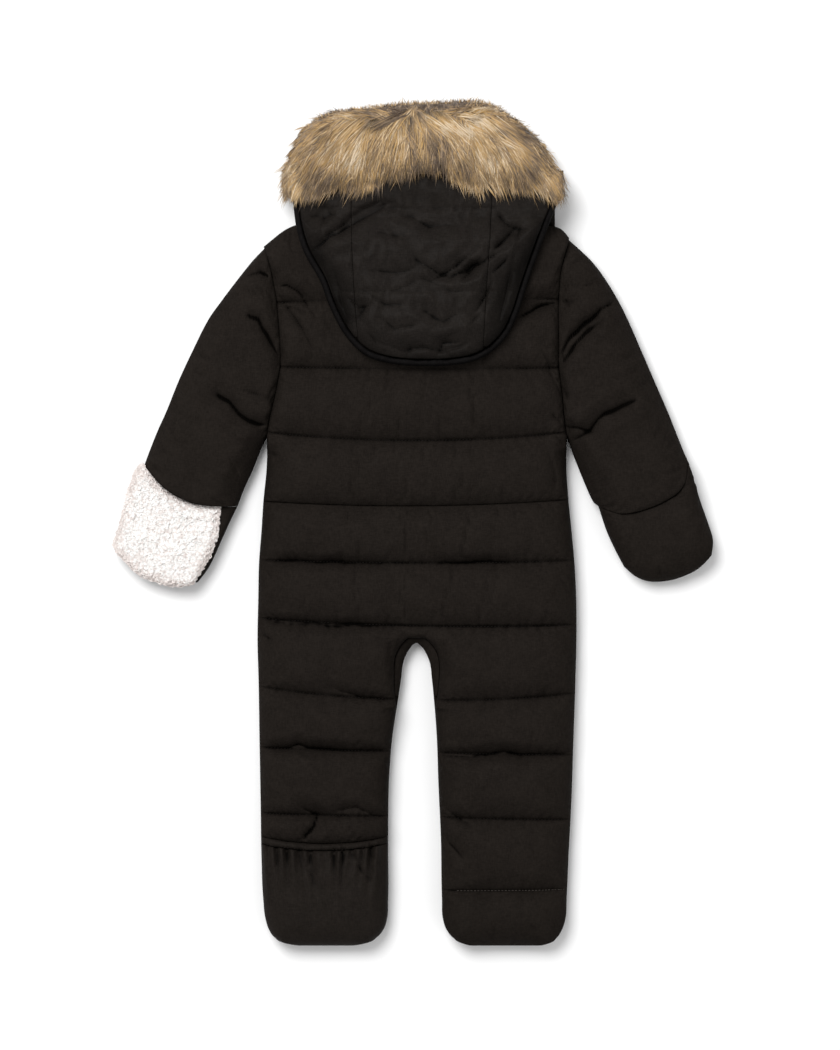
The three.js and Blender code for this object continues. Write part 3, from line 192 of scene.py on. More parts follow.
HOOD_CREASES = [
    {"line": [(-109, 280), (-87, 296), (-67, 308), (-46, 320), (-30, 331)], "width": 4, "depth": 5},
    {"line": [(-101, 291), (-75, 308), (-54, 324), (-38, 334)], "width": 3.4, "depth": 3.4},
    {"line": [(-96, 272), (-91, 251), (-85, 234)], "width": 5, "depth": 3.2},
    {"line": [(1, 272), (23, 259), (40, 255), (56, 261), (69, 274)], "width": 3, "depth": 2.4},
    {"line": [(48, 249), (62, 263), (73, 271), (95, 285)], "width": 3.2, "depth": 3},
    {"line": [(63, 220), (74, 234), (81, 248)], "width": 3.2, "depth": 2.8},
    {"line": [(-22, 239), (8, 252), (26, 247), (41, 236)], "width": 4, "depth": 1.6},
    {"line": [(-36, 185), (-14, 178), (10, 181), (30, 177), (54, 184)], "width": 6, "depth": 4},
    {"line": [(-70, 232), (-58, 222), (-46, 224)], "width": 3.2, "depth": 2},
    {"line": [(88, 318), (100, 306), (118, 304)], "width": 3.4, "depth": 2.4},
    {"line": [(52, 257), (70, 272)], "width": 3.6, "depth": 2.4},
    {"line": [(84, 283), (102, 299)], "width": 3.6, "depth": 2.4},
    {"line": [(-56, 240), (-30, 225), (-12, 226)], "width": 4, "depth": 1.8},
    {"line": [(-48, 196), (-40, 184)], "width": 3.2, "depth": 2.6},
    {"line": [(-10, 168), (-4, 182)], "width": 3.6, "depth": 3},
    {"line": [(22, 168), (30, 184), (48, 188)], "width": 3.6, "depth": 3},
    {"line": [(60, 205), (68, 216)], "width": 3.2, "depth": 2},
    {"line": [(-98, 300), (-92, 330)], "width": 6, "depth": 2.4},
    {"line": [(-86, 266), (-72, 216)], "width": 10, "depth": 4.5},
    {"line": [(104, 276), (90, 208)], "width": 10, "depth": 5},
    {"line": [(112, 308), (106, 290)], "width": 6, "depth": 3},
    {"line": [(18, 250), (44, 266), (69, 288)], "width": 4, "depth": 2.6},
    {"line": [(34, 251), (62, 268)], "width": 3.2, "depth": 2.2},
    {"line": [(80, 258), (98, 275)], "width": 3.4, "depth": 2.6},
    {"line": [(84, 284), (109, 308)], "width": 3.4, "depth": 2.8},
    {"line": [(-48, 262), (-20, 258), (4, 264)], "width": 4, "depth": 1.6},
    {"line": [(-40, 300), (-14, 296)], "width": 4, "depth": 1.6},
    {"line": [(-6, 318), (14, 306), (40, 308)], "width": 4, "depth": 1.8},
    {"line": [(-34, 212), (-20, 200), (2, 204)], "width": 4, "depth": 2.2},
    {"line": [(10, 218), (30, 208), (42, 214)], "width": 4, "depth": 2},
    {"line": [(-60, 208), (-52, 222)], "width": 3.4, "depth": 2.4},
    {"line": [(-110, 316), (-96, 322), (-80, 318)], "width": 4, "depth": 2.4},
]
COVER_CREASES = [
    {"line": [(-108, -347), (-112, -364), (-105, -384)], "width": 5, "depth": 3},
    {"line": [(-66, -348), (-56, -366), (-44, -378)], "width": 4.5, "depth": 3},
    {"line": [(-88, -350), (-92, -362)], "width": 4, "depth": 2},
    {"line": [(-140, -352), (-146, -362)], "width": 4, "depth": 2},
    {"line": [(-44, -350), (-36, -362)], "width": 4, "depth": 2},
]

# Sleeves and mittens: edges run from the shoulder to the hand, cuffs from the outer to the inner side
SLEEVE_LEFT = {
    "outer": [(-159.6, 287.7), (-170.6, 274), (-187.4, 253), (-203.2, 232), (-217.9, 211), (-233.6, 179.6),
              (-248.3, 148), (-260.9, 116.6), (-270.4, 95.5), (-278.8, 74.5), (-284.6, 58.8)],
    "inner": [(-155.5, 88.5), (-162.2, 74.5), (-170.6, 53.6), (-180.1, 32.6), (-186.4, 15.8)],
    "cuff": [(-284.6, 58.8), (-266.2, 37.8), (-250.4, 26.2), (-233.6, 18.9), (-216.8, 15.8), (-204.2, 15.2),
             (-186.4, 15.8)],
}
SLEEVE_RIGHT = {
    "outer": [(163.7, 297), (186.4, 274), (202.1, 253), (214.7, 232), (225.2, 211), (238.9, 179.6),
              (252.5, 148), (266.2, 116.6), (274.6, 95.5), (283, 74.5), (287.2, 65.1)],
    "inner": [(160.4, 88.5), (169.6, 64), (178, 43), (187.4, 22), (193.7, 15.8)],
    "cuff": [(287.2, 65.1), (286.4, 51.5), (283, 38.9), (273.5, 27.3), (249.4, 14.7), (221, 7.4),
             (202.1, 11.6), (193.7, 15.8)],
}
FLEECE_SHARE = 0.84
CUFF_SHARE = 0.96
FLEECE_CROWN = 17
MITT_LEFT = {
    "outer": [(-284.9, 58.6), (-291.4, 54.7), (-301.9, 27.3), (-309.2, -4.2), (-315.5, -23.1),
              (-311.3, -31.5)],
    "tip": [(-311.3, -31.5), (-300.8, -44.1), (-287.2, -56.7), (-262, -66.2), (-244, -67.4),
            (-232.6, -65.1)],
    "inner": [(-204.4, 14.9), (-205.3, 4.2), (-206.3, -13.7), (-213.7, -33.6), (-221, -47.2),
              (-232.6, -65.1)],
    "shell_inner": [(-186.6, 15.4), (-193.7, 1.1), (-203.2, -19.9), (-212.6, -41), (-219.5, -53),
                    (-228.4, -64.4)],
}
MITT_RIGHT = {
    "outer": [(287.4, 64.7), (294.5, 43.1), (300.8, 22.1), (308.2, 1.1), (314.5, -19.9), (312.4, -36.8)],
    "tip": [(312.4, -36.8), (303, -47), (292, -54.5), (272, -62), (250, -64), (234, -59), (221, -48.3)],
    "inner": [(193.9, 15.4), (202.1, -9.5), (211.6, -30.5), (221, -48.3)],
}

# Hood outline as it lies, and its two long seams
HOOD_POINTS = [
    (-129, HOOD_TOP_Y - 1.5), (-127, 335), (-123.4, 306.6), (-115, 280.4), (-99, 252), (-88.7, 224.7),
    (-73, 195.3), (-50, 173), (-16, 163.8), (33, 162.8), (68.8, 170), (94, 190), (107.6, 215.2),
    (118.1, 247.8), (130.7, 283.5), (140, 308.7), (150, 335), (154, HOOD_TOP_Y - 1.5),
]
HOOD_SEAMS = {"y": (HOOD_TOP_Y, 300, 240, 176), "left": (-66, -65.6, -63, -58), "right": (82, 79, 75, 71.5)}
HOOD_CROSS_LINES = (326.6, 239.4)

# Fur trim: its outline, the tips of its fringe, and its height from the outline to the fringe
FUR_POINTS = [
    (-139, 347), (-137.5, 366), (-129, 386), (-120, 403), (-114, 414), (-100, 425), (-79, 432), (-48, 436),
    (-8, 440.5), (30, 441.5), (56, 443), (75, 441), (94, 432), (113, 417), (129, 402), (138, 388), (145, 373),
    (152, 356), (155, 347),
]
FRINGE = {
    "x": (-143.3, -136, -123, -89, -65, -36, 2, 39, 69, 95, 126, 149, 161.2),
    "y": (340, 329, 322.5, 329, 341, 351, 355.5, 353.5, 347.5, 341, 332, 329, 340),
}
FUR_TIPS = {
    "x": (-143, -130, -115, -97, -79, -43, -29, -7, 7, 22, 36, 50, 65, 80, 94, 112, 130, 148, 161),
    "y": (340, 338, 334, 340, 345, 346, 356, 357, 364, 366, 357, 350, 341, 353, 342, 346, 345, 331, 340),
}
FUR_FOLD_Y = HOOD_TOP_Y + SEAM_GAP
FUR_PROFILE = {
    "down": (0, 0.05, 0.15, 0.32, 0.55, 0.8, 1, 1.3, 1.7, 2),
    "height": (3, 18, 33, 46, 53, FUR_HEIGHT - BACK_BOTTOM, 53, 49.5, 45, 41),
}
HOOD_EDGE_LEFT = -131.5
HOOD_EDGE_RIGHT = 156.5
FUR_LEFT = -139
FUR_RIGHT = 155
FUR_CHIN_LEFT = -136
FUR_CHIN_RIGHT = 157

CASING_DEPTH = 7.5
GATHERS = 12
FOLD_STEPS = 20
COVER_CROWN = 22
FLAP_LEFT = -23
FLAP_RIGHT = 27
FLAP_TAPER_Y = -92
FLAP_END_Y = -119


# Curves and tables

def mix(a, b, share):
    return a + (b - a) * share


def clamp(value):
    return np.clip(value, 0, 1)


def round_off(distance, radius):
    """A quarter circle: 0 at the edge, 1 from the radius inwards."""
    return np.sqrt(1 - (1 - clamp(distance / radius)) ** 2)


def pillow(share):
    """The root of a half sine: steep at both stitch lines, flat between them."""
    return np.sqrt(np.maximum(np.sin(np.pi * clamp(share)), 0))


def at(table, key, value, column):
    """A column's value at a place in a table, on a smooth curve through its rows."""
    keys = np.array(table[key], float)
    order = np.argsort(keys)
    keys = keys[order]
    values = np.array(table[column], float)[order]
    slopes = np.gradient(values, keys)
    value = np.clip(value, keys[0], keys[-1])
    i = np.clip(np.searchsorted(keys, value) - 1, 0, len(keys) - 2)
    span = keys[i + 1] - keys[i]
    t = (value - keys[i]) / span
    start = (1 + 2 * t) * (1 - t) ** 2 * values[i] + t * (1 - t) ** 2 * span * slopes[i]
    return start + t * t * (3 - 2 * t) * values[i + 1] - t * t * (1 - t) * span * slopes[i + 1]


def straight_at(table, key, value, column):
    """As at, on straight lines between the rows."""
    order = np.argsort(table[key])
    return np.interp(value, np.array(table[key], float)[order], np.array(table[column], float)[order])


def line_y(name):
    """A quilting line's height over x: the parabola through its three heights."""
    left, middle, right = QUILT_LINES[name]

    def height(x):
        u = (x - LINE_LEFT_X) / (LINE_RIGHT_X - LINE_LEFT_X)
        return left * (1 - u) * (1 - 2 * u) + middle * 4 * u * (1 - u) + right * u * (2 * u - 1)

    return height


def smooth_path(points, count):
    """A Catmull-Rom curve through the points, as count + 1 points evenly far apart."""
    p = np.array(points, float)
    p = np.vstack([p[:1], p, p[-1:]])
    t = np.linspace(0, 1, 24, endpoint=False)[:, None]
    a, b, c, d = p[:-3, None], p[1:-2, None], p[2:-1, None], p[3:, None]
    start, end = (c - a) / 2, (d - b) / 2
    curve = (2 * b - 2 * c + start + end) * t**3 + (-3 * b + 3 * c - 2 * start - end) * t**2 + start * t + b
    curve = np.vstack([curve.reshape(-1, 2), p[-1:]])
    run = np.concatenate([[0], np.cumsum(np.linalg.norm(np.diff(curve, axis=0), axis=1))])
    even = np.linspace(0, run[-1], count + 1)
    return np.stack([np.interp(even, run, curve[:, k]) for k in (0, 1)], -1)


def shifted_path(path, distance):
    """Moves each point of a path sideways, to the left of the way it runs."""
    ahead = np.gradient(path, axis=0)
    ahead /= np.linalg.norm(ahead, axis=1, keepdims=True)
    return path + np.stack([-ahead[:, 1], ahead[:, 0]], -1) * distance


def on_path(path, share):
    place = np.linspace(0, 1, len(path))
    return np.stack([np.interp(share, place, path[:, k]) for k in (0, 1)], -1)


def patch(edges, across, along):
    """A surface patch between four edge curves: the two ruled surfaces less the corners' bilinear one."""
    across, along = np.meshgrid(across, along)
    start, end = on_path(edges["start"], across), on_path(edges["end"], across)
    first, last = on_path(edges["first"], along), on_path(edges["last"], along)
    u, v = across[..., None], along[..., None]
    corner = {key: edges[key][[0, -1]] for key in ("start", "end")}
    start_line = mix(corner["start"][0], corner["start"][1], u)
    end_line = mix(corner["end"][0], corner["end"][1], u)
    points = mix(start, end, v) + mix(first, last, u) - mix(start_line, end_line, v)
    return points[..., 0], points[..., 1], across, along


def path_distance(x, y, path):
    """Distance from places to the nearest of a path's straight stretches, and the share along the path."""
    best = np.full(np.shape(x), 1e9)
    share = np.zeros(np.shape(x))
    path = np.array(path, float)
    for i in range(len(path) - 1):
        step = path[i + 1] - path[i]
        along = clamp(((x - path[i, 0]) * step[0] + (y - path[i, 1]) * step[1]) / (step @ step))
        away = np.hypot(x - path[i, 0] - along * step[0], y - path[i, 1] - along * step[1])
        nearer = away < best
        best = np.where(nearer, away, best)
        share = np.where(nearer, (i + along) / (len(path) - 1), share)
    return best, share


def inside_path(x, y, path):
    """Whether places lie inside a closed path: how often a line to the right crosses it, odd or even."""
    inside = np.zeros(np.shape(x), bool)
    for (ax, ay), (bx, by) in zip(path, np.roll(path, -1, axis=0)):
        if ay != by:
            crosses = ((ay > y) != (by > y)) & (x < ax + (bx - ax) * (y - ay) / (by - ay))
            inside ^= crosses
    return inside


def crowded(count, crowding):
    """Shares from 0 to 1 that lie closer together towards both ends."""
    even = np.linspace(0, 1, count)
    return even - np.sin(2 * np.pi * even) / (2 * np.pi) * crowding


# Unevenness: smooth random numbers over a lattice, the same on each run

def uneven(x, y, width, height, seed):
    """Random numbers from -1 to 1 at the corners of cells of this width and height, blended smoothly."""
    u, v = np.asarray(x) / width, np.asarray(y) / height
    lattice = np.random.default_rng(seed).uniform(-1, 1, (256, 256))
    i, j = np.floor(u).astype(int), np.floor(v).astype(int)
    s, t = u - i, v - j
    s, t = s * s * (3 - 2 * s), t * t * (3 - 2 * t)
    low = mix(lattice[i % 256, j % 256], lattice[(i + 1) % 256, j % 256], s)
    high = mix(lattice[i % 256, (j + 1) % 256], lattice[(i + 1) % 256, (j + 1) % 256], s)
    return mix(low, high, t)


def crumple(x, y, size, seed):
    """Shallow crossing wrinkles: two ridged noises, each stretched along its own slant."""
    a = np.abs(uneven(x + 0.6 * y, y - 0.3 * x, size * 2.6, size, seed))
    b = np.abs(uneven(x - 0.8 * y, y + 0.5 * x, size * 2.2, size * 0.9, seed + 1))
    return 1 - a - b


def pucker(x, y, away, reach, seed):
    """Folds that run off a stitch line in clusters: noise along the line, slanted, with an uneven reach."""
    slant = 0.5 * uneven(x, y * 0, 34, 1, seed)
    folds = uneven(x + slant * away, y * 0, 7.5, 1, seed + 1) + 0.7 * uneven(x, y * 0, 3.9, 1, seed + 2)
    far = reach * (0.7 + 0.6 * uneven(x, y * 0, 22, 1, seed + 3))
    cluster = clamp(0.45 + 0.9 * uneven(x, y * 0, 31, 1, seed + 4))
    return folds * np.exp(-away / far) * cluster


def crease_depth(x, y, creases):
    """Troughs cut sharp in a wider hollow, with a low rim on both sides and uneven along their line."""
    depth = np.zeros(np.shape(x))
    wander = np.stack([uneven(x, y, 11, 11, 35), uneven(x, y, 11, 11, 36)]) * 1.3
    for number, crease in enumerate(creases):
        away, share = path_distance(x + wander[0], y + wander[1], crease["line"])
        away = away / crease["width"]
        taper = np.sin(np.pi * (0.06 + 0.88 * share)) ** 0.5
        rough = 0.95 + 0.3 * uneven(x, y, 15, 15, 40 + number)
        cut = np.exp(-away * 2.1) + 0.5 * np.exp(-((away / 2.0) ** 2))
        cut -= 0.2 * np.exp(-((away - 3.4) ** 2) / 1.6)
        depth += crease["depth"] * taper * rough * cut
    return depth


# Grids to meshes

def joined(grids):
    """Grids of points with shared borders as one list of points and quads, with equal points merged."""
    points = np.concatenate([grid.reshape(-1, 3) for grid in grids])
    quads = []
    start = 0
    for grid in grids:
        rows, columns = grid.shape[:2]
        index = start + np.arange(rows * columns).reshape(rows, columns)
        corners = [index[:-1, :-1], index[1:, :-1], index[1:, 1:], index[:-1, 1:]]
        quads.append(np.stack(corners, -1).reshape(-1, 4))
        start += rows * columns
    _, first, same = np.unique(np.round(points, 3), axis=0, return_index=True, return_inverse=True)
    same = same.reshape(-1)
    quads = same[np.concatenate(quads)]
    points = points[first]
    a, b, c = (points[quads[:, k]] for k in (0, 1, 2))
    if np.cross(b - a, c - a)[:, 2].sum() < 0:
        quads = quads[:, ::-1]
    return points, quads, same


def open_edges(quads, count):
    """The directed edges that only one quad has."""
    edges = np.stack([quads, np.roll(quads, -1, axis=1)], -1).reshape(-1, 2)
    there, back = edges[:, 0] * count + edges[:, 1], edges[:, 1] * count + edges[:, 0]
    return edges[~np.isin(there, back)]


def fill_mesh(name, points, faces):
    """Puts points in millimetres and lists of faces, each with its own number of corners, into a mesh."""
    mesh = bpy.data.meshes.new(name)
    corners = np.concatenate([f.reshape(-1) for f in faces])
    sizes = np.concatenate([np.full(len(f), f.shape[1]) for f in faces])
    mesh.vertices.add(len(points))
    mesh.vertices.foreach_set("co", (points * MM).astype(np.float32).ravel())
    mesh.loops.add(len(corners))
    mesh.loops.foreach_set("vertex_index", corners.astype(np.int32))
    mesh.polygons.add(len(sizes))
    mesh.polygons.foreach_set("loop_start", np.concatenate([[0], np.cumsum(sizes)[:-1]]).astype(np.int32))
    mesh.polygons.foreach_set("use_smooth", np.ones(len(sizes), bool))
    mesh.update(calc_edges=True)
    return mesh


def closed_flat(name, sheet, floor):
    """A sheet with a rim down or up to a flat floor, and a flat face that closes it there."""
    points, quads, _ = joined(sheet)
    if floor > points[:, 2].mean():
        quads = quads[:, ::-1]
    edges = open_edges(quads, len(points))
    rim = np.unique(edges)
    lower = np.full(len(points), -1)
    lower[rim] = len(points) + np.arange(len(rim))
    low_points = points[rim].copy()
    low_points[:, 2] = floor
    sides = np.stack([edges[:, 1], edges[:, 0], lower[edges[:, 0]], lower[edges[:, 1]]], -1)
    mesh = fill_mesh(name, np.vstack([points, low_points]), [quads, sides])
    work = bmesh.new()
    work.from_mesh(mesh)
    border = [edge for edge in work.edges if edge.is_boundary]
    made = bmesh.ops.holes_fill(work, edges=border, sides=0)["faces"]
    bmesh.ops.triangulate(work, faces=made)
    bmesh.ops.recalc_face_normals(work, faces=work.faces[:])
    work.to_mesh(mesh)
    work.free()
    return mesh


def closed_pair(name, upper, lower):
    """Two sheets with the same plan, joined by a rim along every free border."""
    points, quads, same = joined(upper)
    under = np.zeros_like(points)
    under[same] = np.concatenate([grid.reshape(-1, 3) for grid in lower])
    edges = open_edges(quads, len(points))
    sides = np.stack([edges[:, 1], edges[:, 0], edges[:, 0] + len(points), edges[:, 1] + len(points)], -1)
    faces = [quads, quads[:, ::-1] + len(points), sides]
    return fill_mesh(name, np.vstack([points, under]), faces)


def carried(name, rings, ends=True):
    """A closed profile carried along a path: rings is a grid with one closed ring in each row."""
    rows, columns = rings.shape[:2]
    index = np.arange(rows * columns).reshape(rows, columns)
    following = np.roll(index, -1, axis=1)
    quads = np.stack([index[:-1], following[:-1], following[1:], index[1:]], -1).reshape(-1, 4)
    faces = [quads]
    if ends:
        faces += [index[:1, ::-1], index[-1:]]
    mesh = fill_mesh(name, rings.reshape(-1, 3), faces)
    recalculated(mesh)
    return mesh


def recalculated(mesh):
    """The mesh with its faces turned outwards."""
    work = bmesh.new()
    work.from_mesh(mesh)
    bmesh.ops.recalc_face_normals(work, faces=work.faces[:])
    work.to_mesh(mesh)
    work.free()


def finer(grid):
    """Twice as many cells both ways, with each new point on a smooth curve through its four neighbours."""
    for axis in (0, 1):
        moved = np.moveaxis(grid, axis, 0)
        before = np.concatenate([2 * moved[:1] - moved[1:2], moved[:-2]])
        after = np.concatenate([moved[2:], 2 * moved[-1:] - moved[-2:-1]])
        middle = (9 * (moved[:-1] + moved[1:]) - before - after) / 16
        both = np.empty((len(moved) * 2 - 1,) + moved.shape[1:])
        both[::2] = moved
        both[1::2] = middle
        grid = np.moveaxis(both, 0, axis)
    return grid


def mark_folds(mesh):
    """Stores how far each point lies below the mean of its surroundings, in millimetres: deep in folds."""
    count = len(mesh.vertices)
    place, normal = np.empty(count * 3, np.float32), np.empty(count * 3, np.float32)
    mesh.vertices.foreach_get("co", place)
    mesh.vertices.foreach_get("normal", normal)
    place, normal = place.reshape(-1, 3).astype(float) / MM, normal.reshape(-1, 3)
    ends = np.empty(len(mesh.edges) * 2, np.int32)
    mesh.edges.foreach_get("vertices", ends)
    a, b = ends.reshape(-1, 2).T
    neighbours = np.maximum(np.bincount(ends, minlength=count), 1)
    mean = place.copy()
    for _ in range(FOLD_STEPS):
        total = [np.bincount(a, mean[b, k], count) + np.bincount(b, mean[a, k], count) for k in range(3)]
        mean = (mean + np.stack(total, -1) / neighbours[:, None]) / 2
    layer = mesh.attributes.new("fold", "FLOAT", "POINT")
    layer.data.foreach_set("value", ((mean - place) * normal).sum(1).astype(np.float32))


def mark_dusk(mesh, outline, reach, seed):
    """Stores how near each point is to an outline, where little light falls: 1 there, fading unevenly."""
    place = np.empty(len(mesh.vertices) * 3, np.float32)
    mesh.vertices.foreach_get("co", place)
    x, y = place.reshape(-1, 3)[:, :2].T.astype(float) / MM
    near = np.exp(-((path_distance(x, y, outline)[0] / reach(y)) ** 2))
    layer = mesh.attributes.new("dusk", "FLOAT", "POINT")
    near *= clamp(0.85 + 0.6 * uneven(x, y, 20, 20, seed))
    layer.data.foreach_set("value", near.astype(np.float32))


def placed(mesh, node, material):
    """Shows a mesh as the piece that stands for a node."""
    mark_folds(mesh)
    piece = bpy.data.objects.new(node + "_cloth", mesh)
    bpy.context.scene.collection.objects.link(piece)
    mesh.materials.append(material)
    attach(piece, "root")
    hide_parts(node)
    return piece


def added(mesh, name, material):
    """Shows a mesh as a piece of its own, beside the nodes."""
    piece = bpy.data.objects.new(name, mesh)
    bpy.context.scene.collection.objects.link(piece)
    mesh.materials.append(material)
    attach(piece, "root")
    return piece


# Cloth simulation of the padded sheets

def blown(grids, stitched, settings):
    """Pins sheets at their borders and stitches, makes the cloth slack and blows it up with air."""
    points, quads, same = joined(grids)
    pins = np.zeros(len(points), bool)
    pins[open_edges(quads, len(points)).ravel()] = True
    pins[same[np.concatenate([mask.ravel() for mask in stitched])]] = True
    scale = settings.cloth_scale
    mesh = fill_mesh("blown", points * scale, [quads])
    cloth = bpy.data.objects.new("blown", mesh)
    bpy.context.scene.collection.objects.link(cloth)
    group = cloth.vertex_groups.new(name="stitched")
    group.add(np.flatnonzero(pins).tolist(), 1.0, "REPLACE")
    modifier = cloth.modifiers.new("Cloth", "CLOTH")
    modifier.settings.quality = 4
    modifier.settings.mass = 0.3
    modifier.settings.tension_stiffness = 15
    modifier.settings.compression_stiffness = 15
    modifier.settings.shear_stiffness = 5
    modifier.settings.bending_stiffness = settings.cloth_bending
    modifier.settings.use_pressure = True
    modifier.settings.uniform_pressure_force = settings.cloth_pressure
    modifier.settings.shrink_min = -settings.cloth_slack
    modifier.settings.effector_weights.gravity = 0
    modifier.settings.vertex_group_mass = "stitched"
    modifier.collision_settings.use_collision = False
    modifier.point_cache.frame_start = 1
    modifier.point_cache.frame_end = settings.cloth_frames
    for number in range(1, settings.cloth_frames + 1):
        bpy.context.scene.frame_set(number)
    shaped = cloth.evaluated_get(bpy.context.evaluated_depsgraph_get()).to_mesh()
    moved = np.empty(len(points) * 3, np.float32)
    shaped.vertices.foreach_get("co", moved)
    moved = moved.reshape(-1, 3).astype(float) / (MM * scale)
    cloth.to_mesh_clear()
    bpy.data.objects.remove(cloth)
    bpy.data.meshes.remove(mesh)
    bpy.context.scene.frame_set(1)
    step = moved - points
    far = np.linalg.norm(step, axis=1, keepdims=True)
    most = settings.cloth_cap / MM
    step *= most * np.tanh(far / most) / np.maximum(far, 1e-6)
    moved = points + step
    moved[pins] = points[pins]
    sheets = []
    start = 0
    for grid in grids:
        count = grid.shape[0] * grid.shape[1]
        sheets.append(moved[same[start:start + count]].reshape(grid.shape))
        start += count
    return sheets


def puffed(grids, stitched, settings):
    return blown(grids, stitched, settings)


# Body

def edge_x(side, y):
    return np.where(y > UNDERARM_Y, at(ARMHOLES, "y", y, side), at(SIDES, "y", y, side))


def inseam_x(side, y):
    return np.where(y > GUSSET_SEAMS["y"][-1], at(GUSSET_SEAMS, "y", y, side), at(INSEAMS, "y", y, side))


def channel_grid(lines, left_edge, right_edge, across, rows):
    """Places that run down through channels: each row's whole part is its channel, the rest its share."""
    across, rows = np.meshgrid(across, rows)
    channel = np.minimum(rows.astype(int), len(lines) - 2)
    down = rows - channel
    x = np.full(rows.shape, float(CENTRE_X))
    for _ in range(6):
        heights = np.stack([np.broadcast_to(line(x), x.shape) for line in lines])
        upper = np.take_along_axis(heights, channel[None], 0)[0]
        lower = np.take_along_axis(heights, channel[None] + 1, 0)[0]
        y = mix(upper, lower, down)
        x = mix(left_edge(y), right_edge(y), across)
    return x, y, down


def channel_rows(cells, crowding=0.45):
    """Row numbers through channels with these numbers of cells, closer together at the stitches."""
    parts = [number + crowded(count + 1, crowding)[:-1] for number, count in enumerate(cells)]
    return np.concatenate(parts + [[len(cells)]])


def pressed_by_hood(x, y):
    """The height that the hood leaves to the back under it, rising with the distance from its rim."""
    outline = smooth_path(HOOD_POINTS, 60)
    away = np.where(inside_path(x, y, outline), 0, path_distance(x, y, outline)[0])
    return HOOD_BED + np.maximum(0, away - 10) * 0.34


def back_z(x, y, share, rim):
    """Height of the back: a quarter circle in from the outline, quilted, and pressed down by the hood."""
    quilted = STITCH_SHARE + (1 - STITCH_SHARE) * pillow(share)
    loft = BACK_CROWN * rim * quilted
    return np.minimum(BACK_BOTTOM + EDGE_THICKNESS + np.maximum(loft, 0), pressed_by_hood(x, y))


def finished_back(grid, rim, settings, lines):
    """The fine form of a padded sheet: puckers off each stitch line, shallow crumples and the creases."""
    x, y, z = grid[..., 0], grid[..., 1], grid[..., 2]
    form = clamp(rim * 1.4) * clamp((pressed_by_hood(x, y) - HOOD_BED) / 6)
    fine = settings.crumple_depth / MM * crumple(x, y, 15, 7)
    nearest = np.full(x.shape, 1e3)
    for number, line in enumerate(lines):
        away = np.abs(y - line(x))
        nearest = np.minimum(nearest, away)
        fine += settings.pucker_depth / MM * pucker(x, y, away, settings.pucker_reach / MM, 100 + 9 * number)
    fine -= settings.furrow_depth / MM * np.exp(-nearest / 1.8) * (0.8 + 0.5 * uneven(x, y, 19, 60, 91))
    depth = crease_depth(x, y, CREASES)
    base = BACK_BOTTOM + EDGE_THICKNESS
    z = np.maximum(z + fine * form - depth * clamp(rim * 1.2), np.minimum(z, base))
    return np.stack([x, y, z], -1)


def yoke_sheet(settings):
    """The upper back between its armholes: four channels, padded, then creased and puckered."""
    def top(x):
        return at(BACK_NECKLINE, "x", x, "y")

    lines = [top, line_y("nape"), line_y("blade"), line_y("chest"), line_y("waist")]
    cells = settings.cells(74), settings.cells(70), settings.cells(72), settings.cells(70)
    rows = channel_rows(cells)
    across = crowded(settings.cells(318) + 1, 0.35)
    x, y, share = channel_grid(lines, lambda v: edge_x("left", v), lambda v: edge_x("right", v), across, rows)
    rim = yoke_rim(x, y, top)
    quilted = np.where(rows[:, None] < 1, 0.5 + share / 2, share)
    grid = np.stack([x, y, back_z(x, y, quilted, rim)], -1)
    stitched = np.broadcast_to((rows % 1 == 0)[:, None], x.shape)
    (grid,) = puffed([grid], [stitched], settings)
    grid = finer(grid)
    rim = yoke_rim(grid[..., 0], grid[..., 1], top)
    return finished_back(grid, rim, settings, lines[1:])


def yoke_rim(x, y, top):
    """The yoke's share of its full height: low at the side edges, the armholes and the neckline."""
    side = np.minimum(x - edge_x("left", y), edge_x("right", y) - x)
    seamed = mix(SEAM_SHARE, 1, round_off(side, 14))
    near_armhole = clamp((y - UNDERARM_Y + 20) / 20)
    side_rim = mix(round_off(side, BACK_ROUNDING), seamed, near_armhole)
    return np.minimum(side_rim, round_off(top(x) - y + 1, 30))


def split_distance(side, x, y):
    """Distance to the split between the legs, also above the crotch."""
    sideways = (inseam_x(side, y) - x) * (1 if side == "left" else -1)
    top = GUSSET_SEAMS["y"][0]
    return np.where(y < top, sideways, np.hypot(np.maximum(sideways, 0), y - top))


def leg_rim(side, x, y):
    """A leg's share of its full height: low at its outer edge, its inseam and the foot's end."""
    outer = (x - edge_x(side, y)) * (1 if side == "left" else -1)
    inner = split_distance(side, x, y)
    rim = np.minimum(round_off(outer, BACK_ROUNDING), mix(0.45, 1, round_off(inner, BACK_ROUNDING * 0.6)))
    leg = np.where(y < GUSSET_SEAMS["y"][-1], round_off(inner, BACK_ROUNDING * 0.75), 1)
    end = round_off(y - FOOT_END_Y, 34) if side == "right" else 1
    return np.minimum(np.minimum(rim, leg), end)


def foot_mouth(x):
    """The height where a leg's quilting ends: bowed on the left, straight on the right."""
    left, middle, right = QUILT_LINES["mouth"]
    first, last = edge_x("left", np.array(middle)), inseam_x("left", np.array(middle))
    u = (x - first) / (last - first)
    bow = left * (1 - u) * (1 - 2 * u) + middle * 4 * u * (1 - u) + right * u * (2 * u - 1)
    return np.where(x > CENTRE_X, middle, bow)


CROTCH_ROW = 2.17


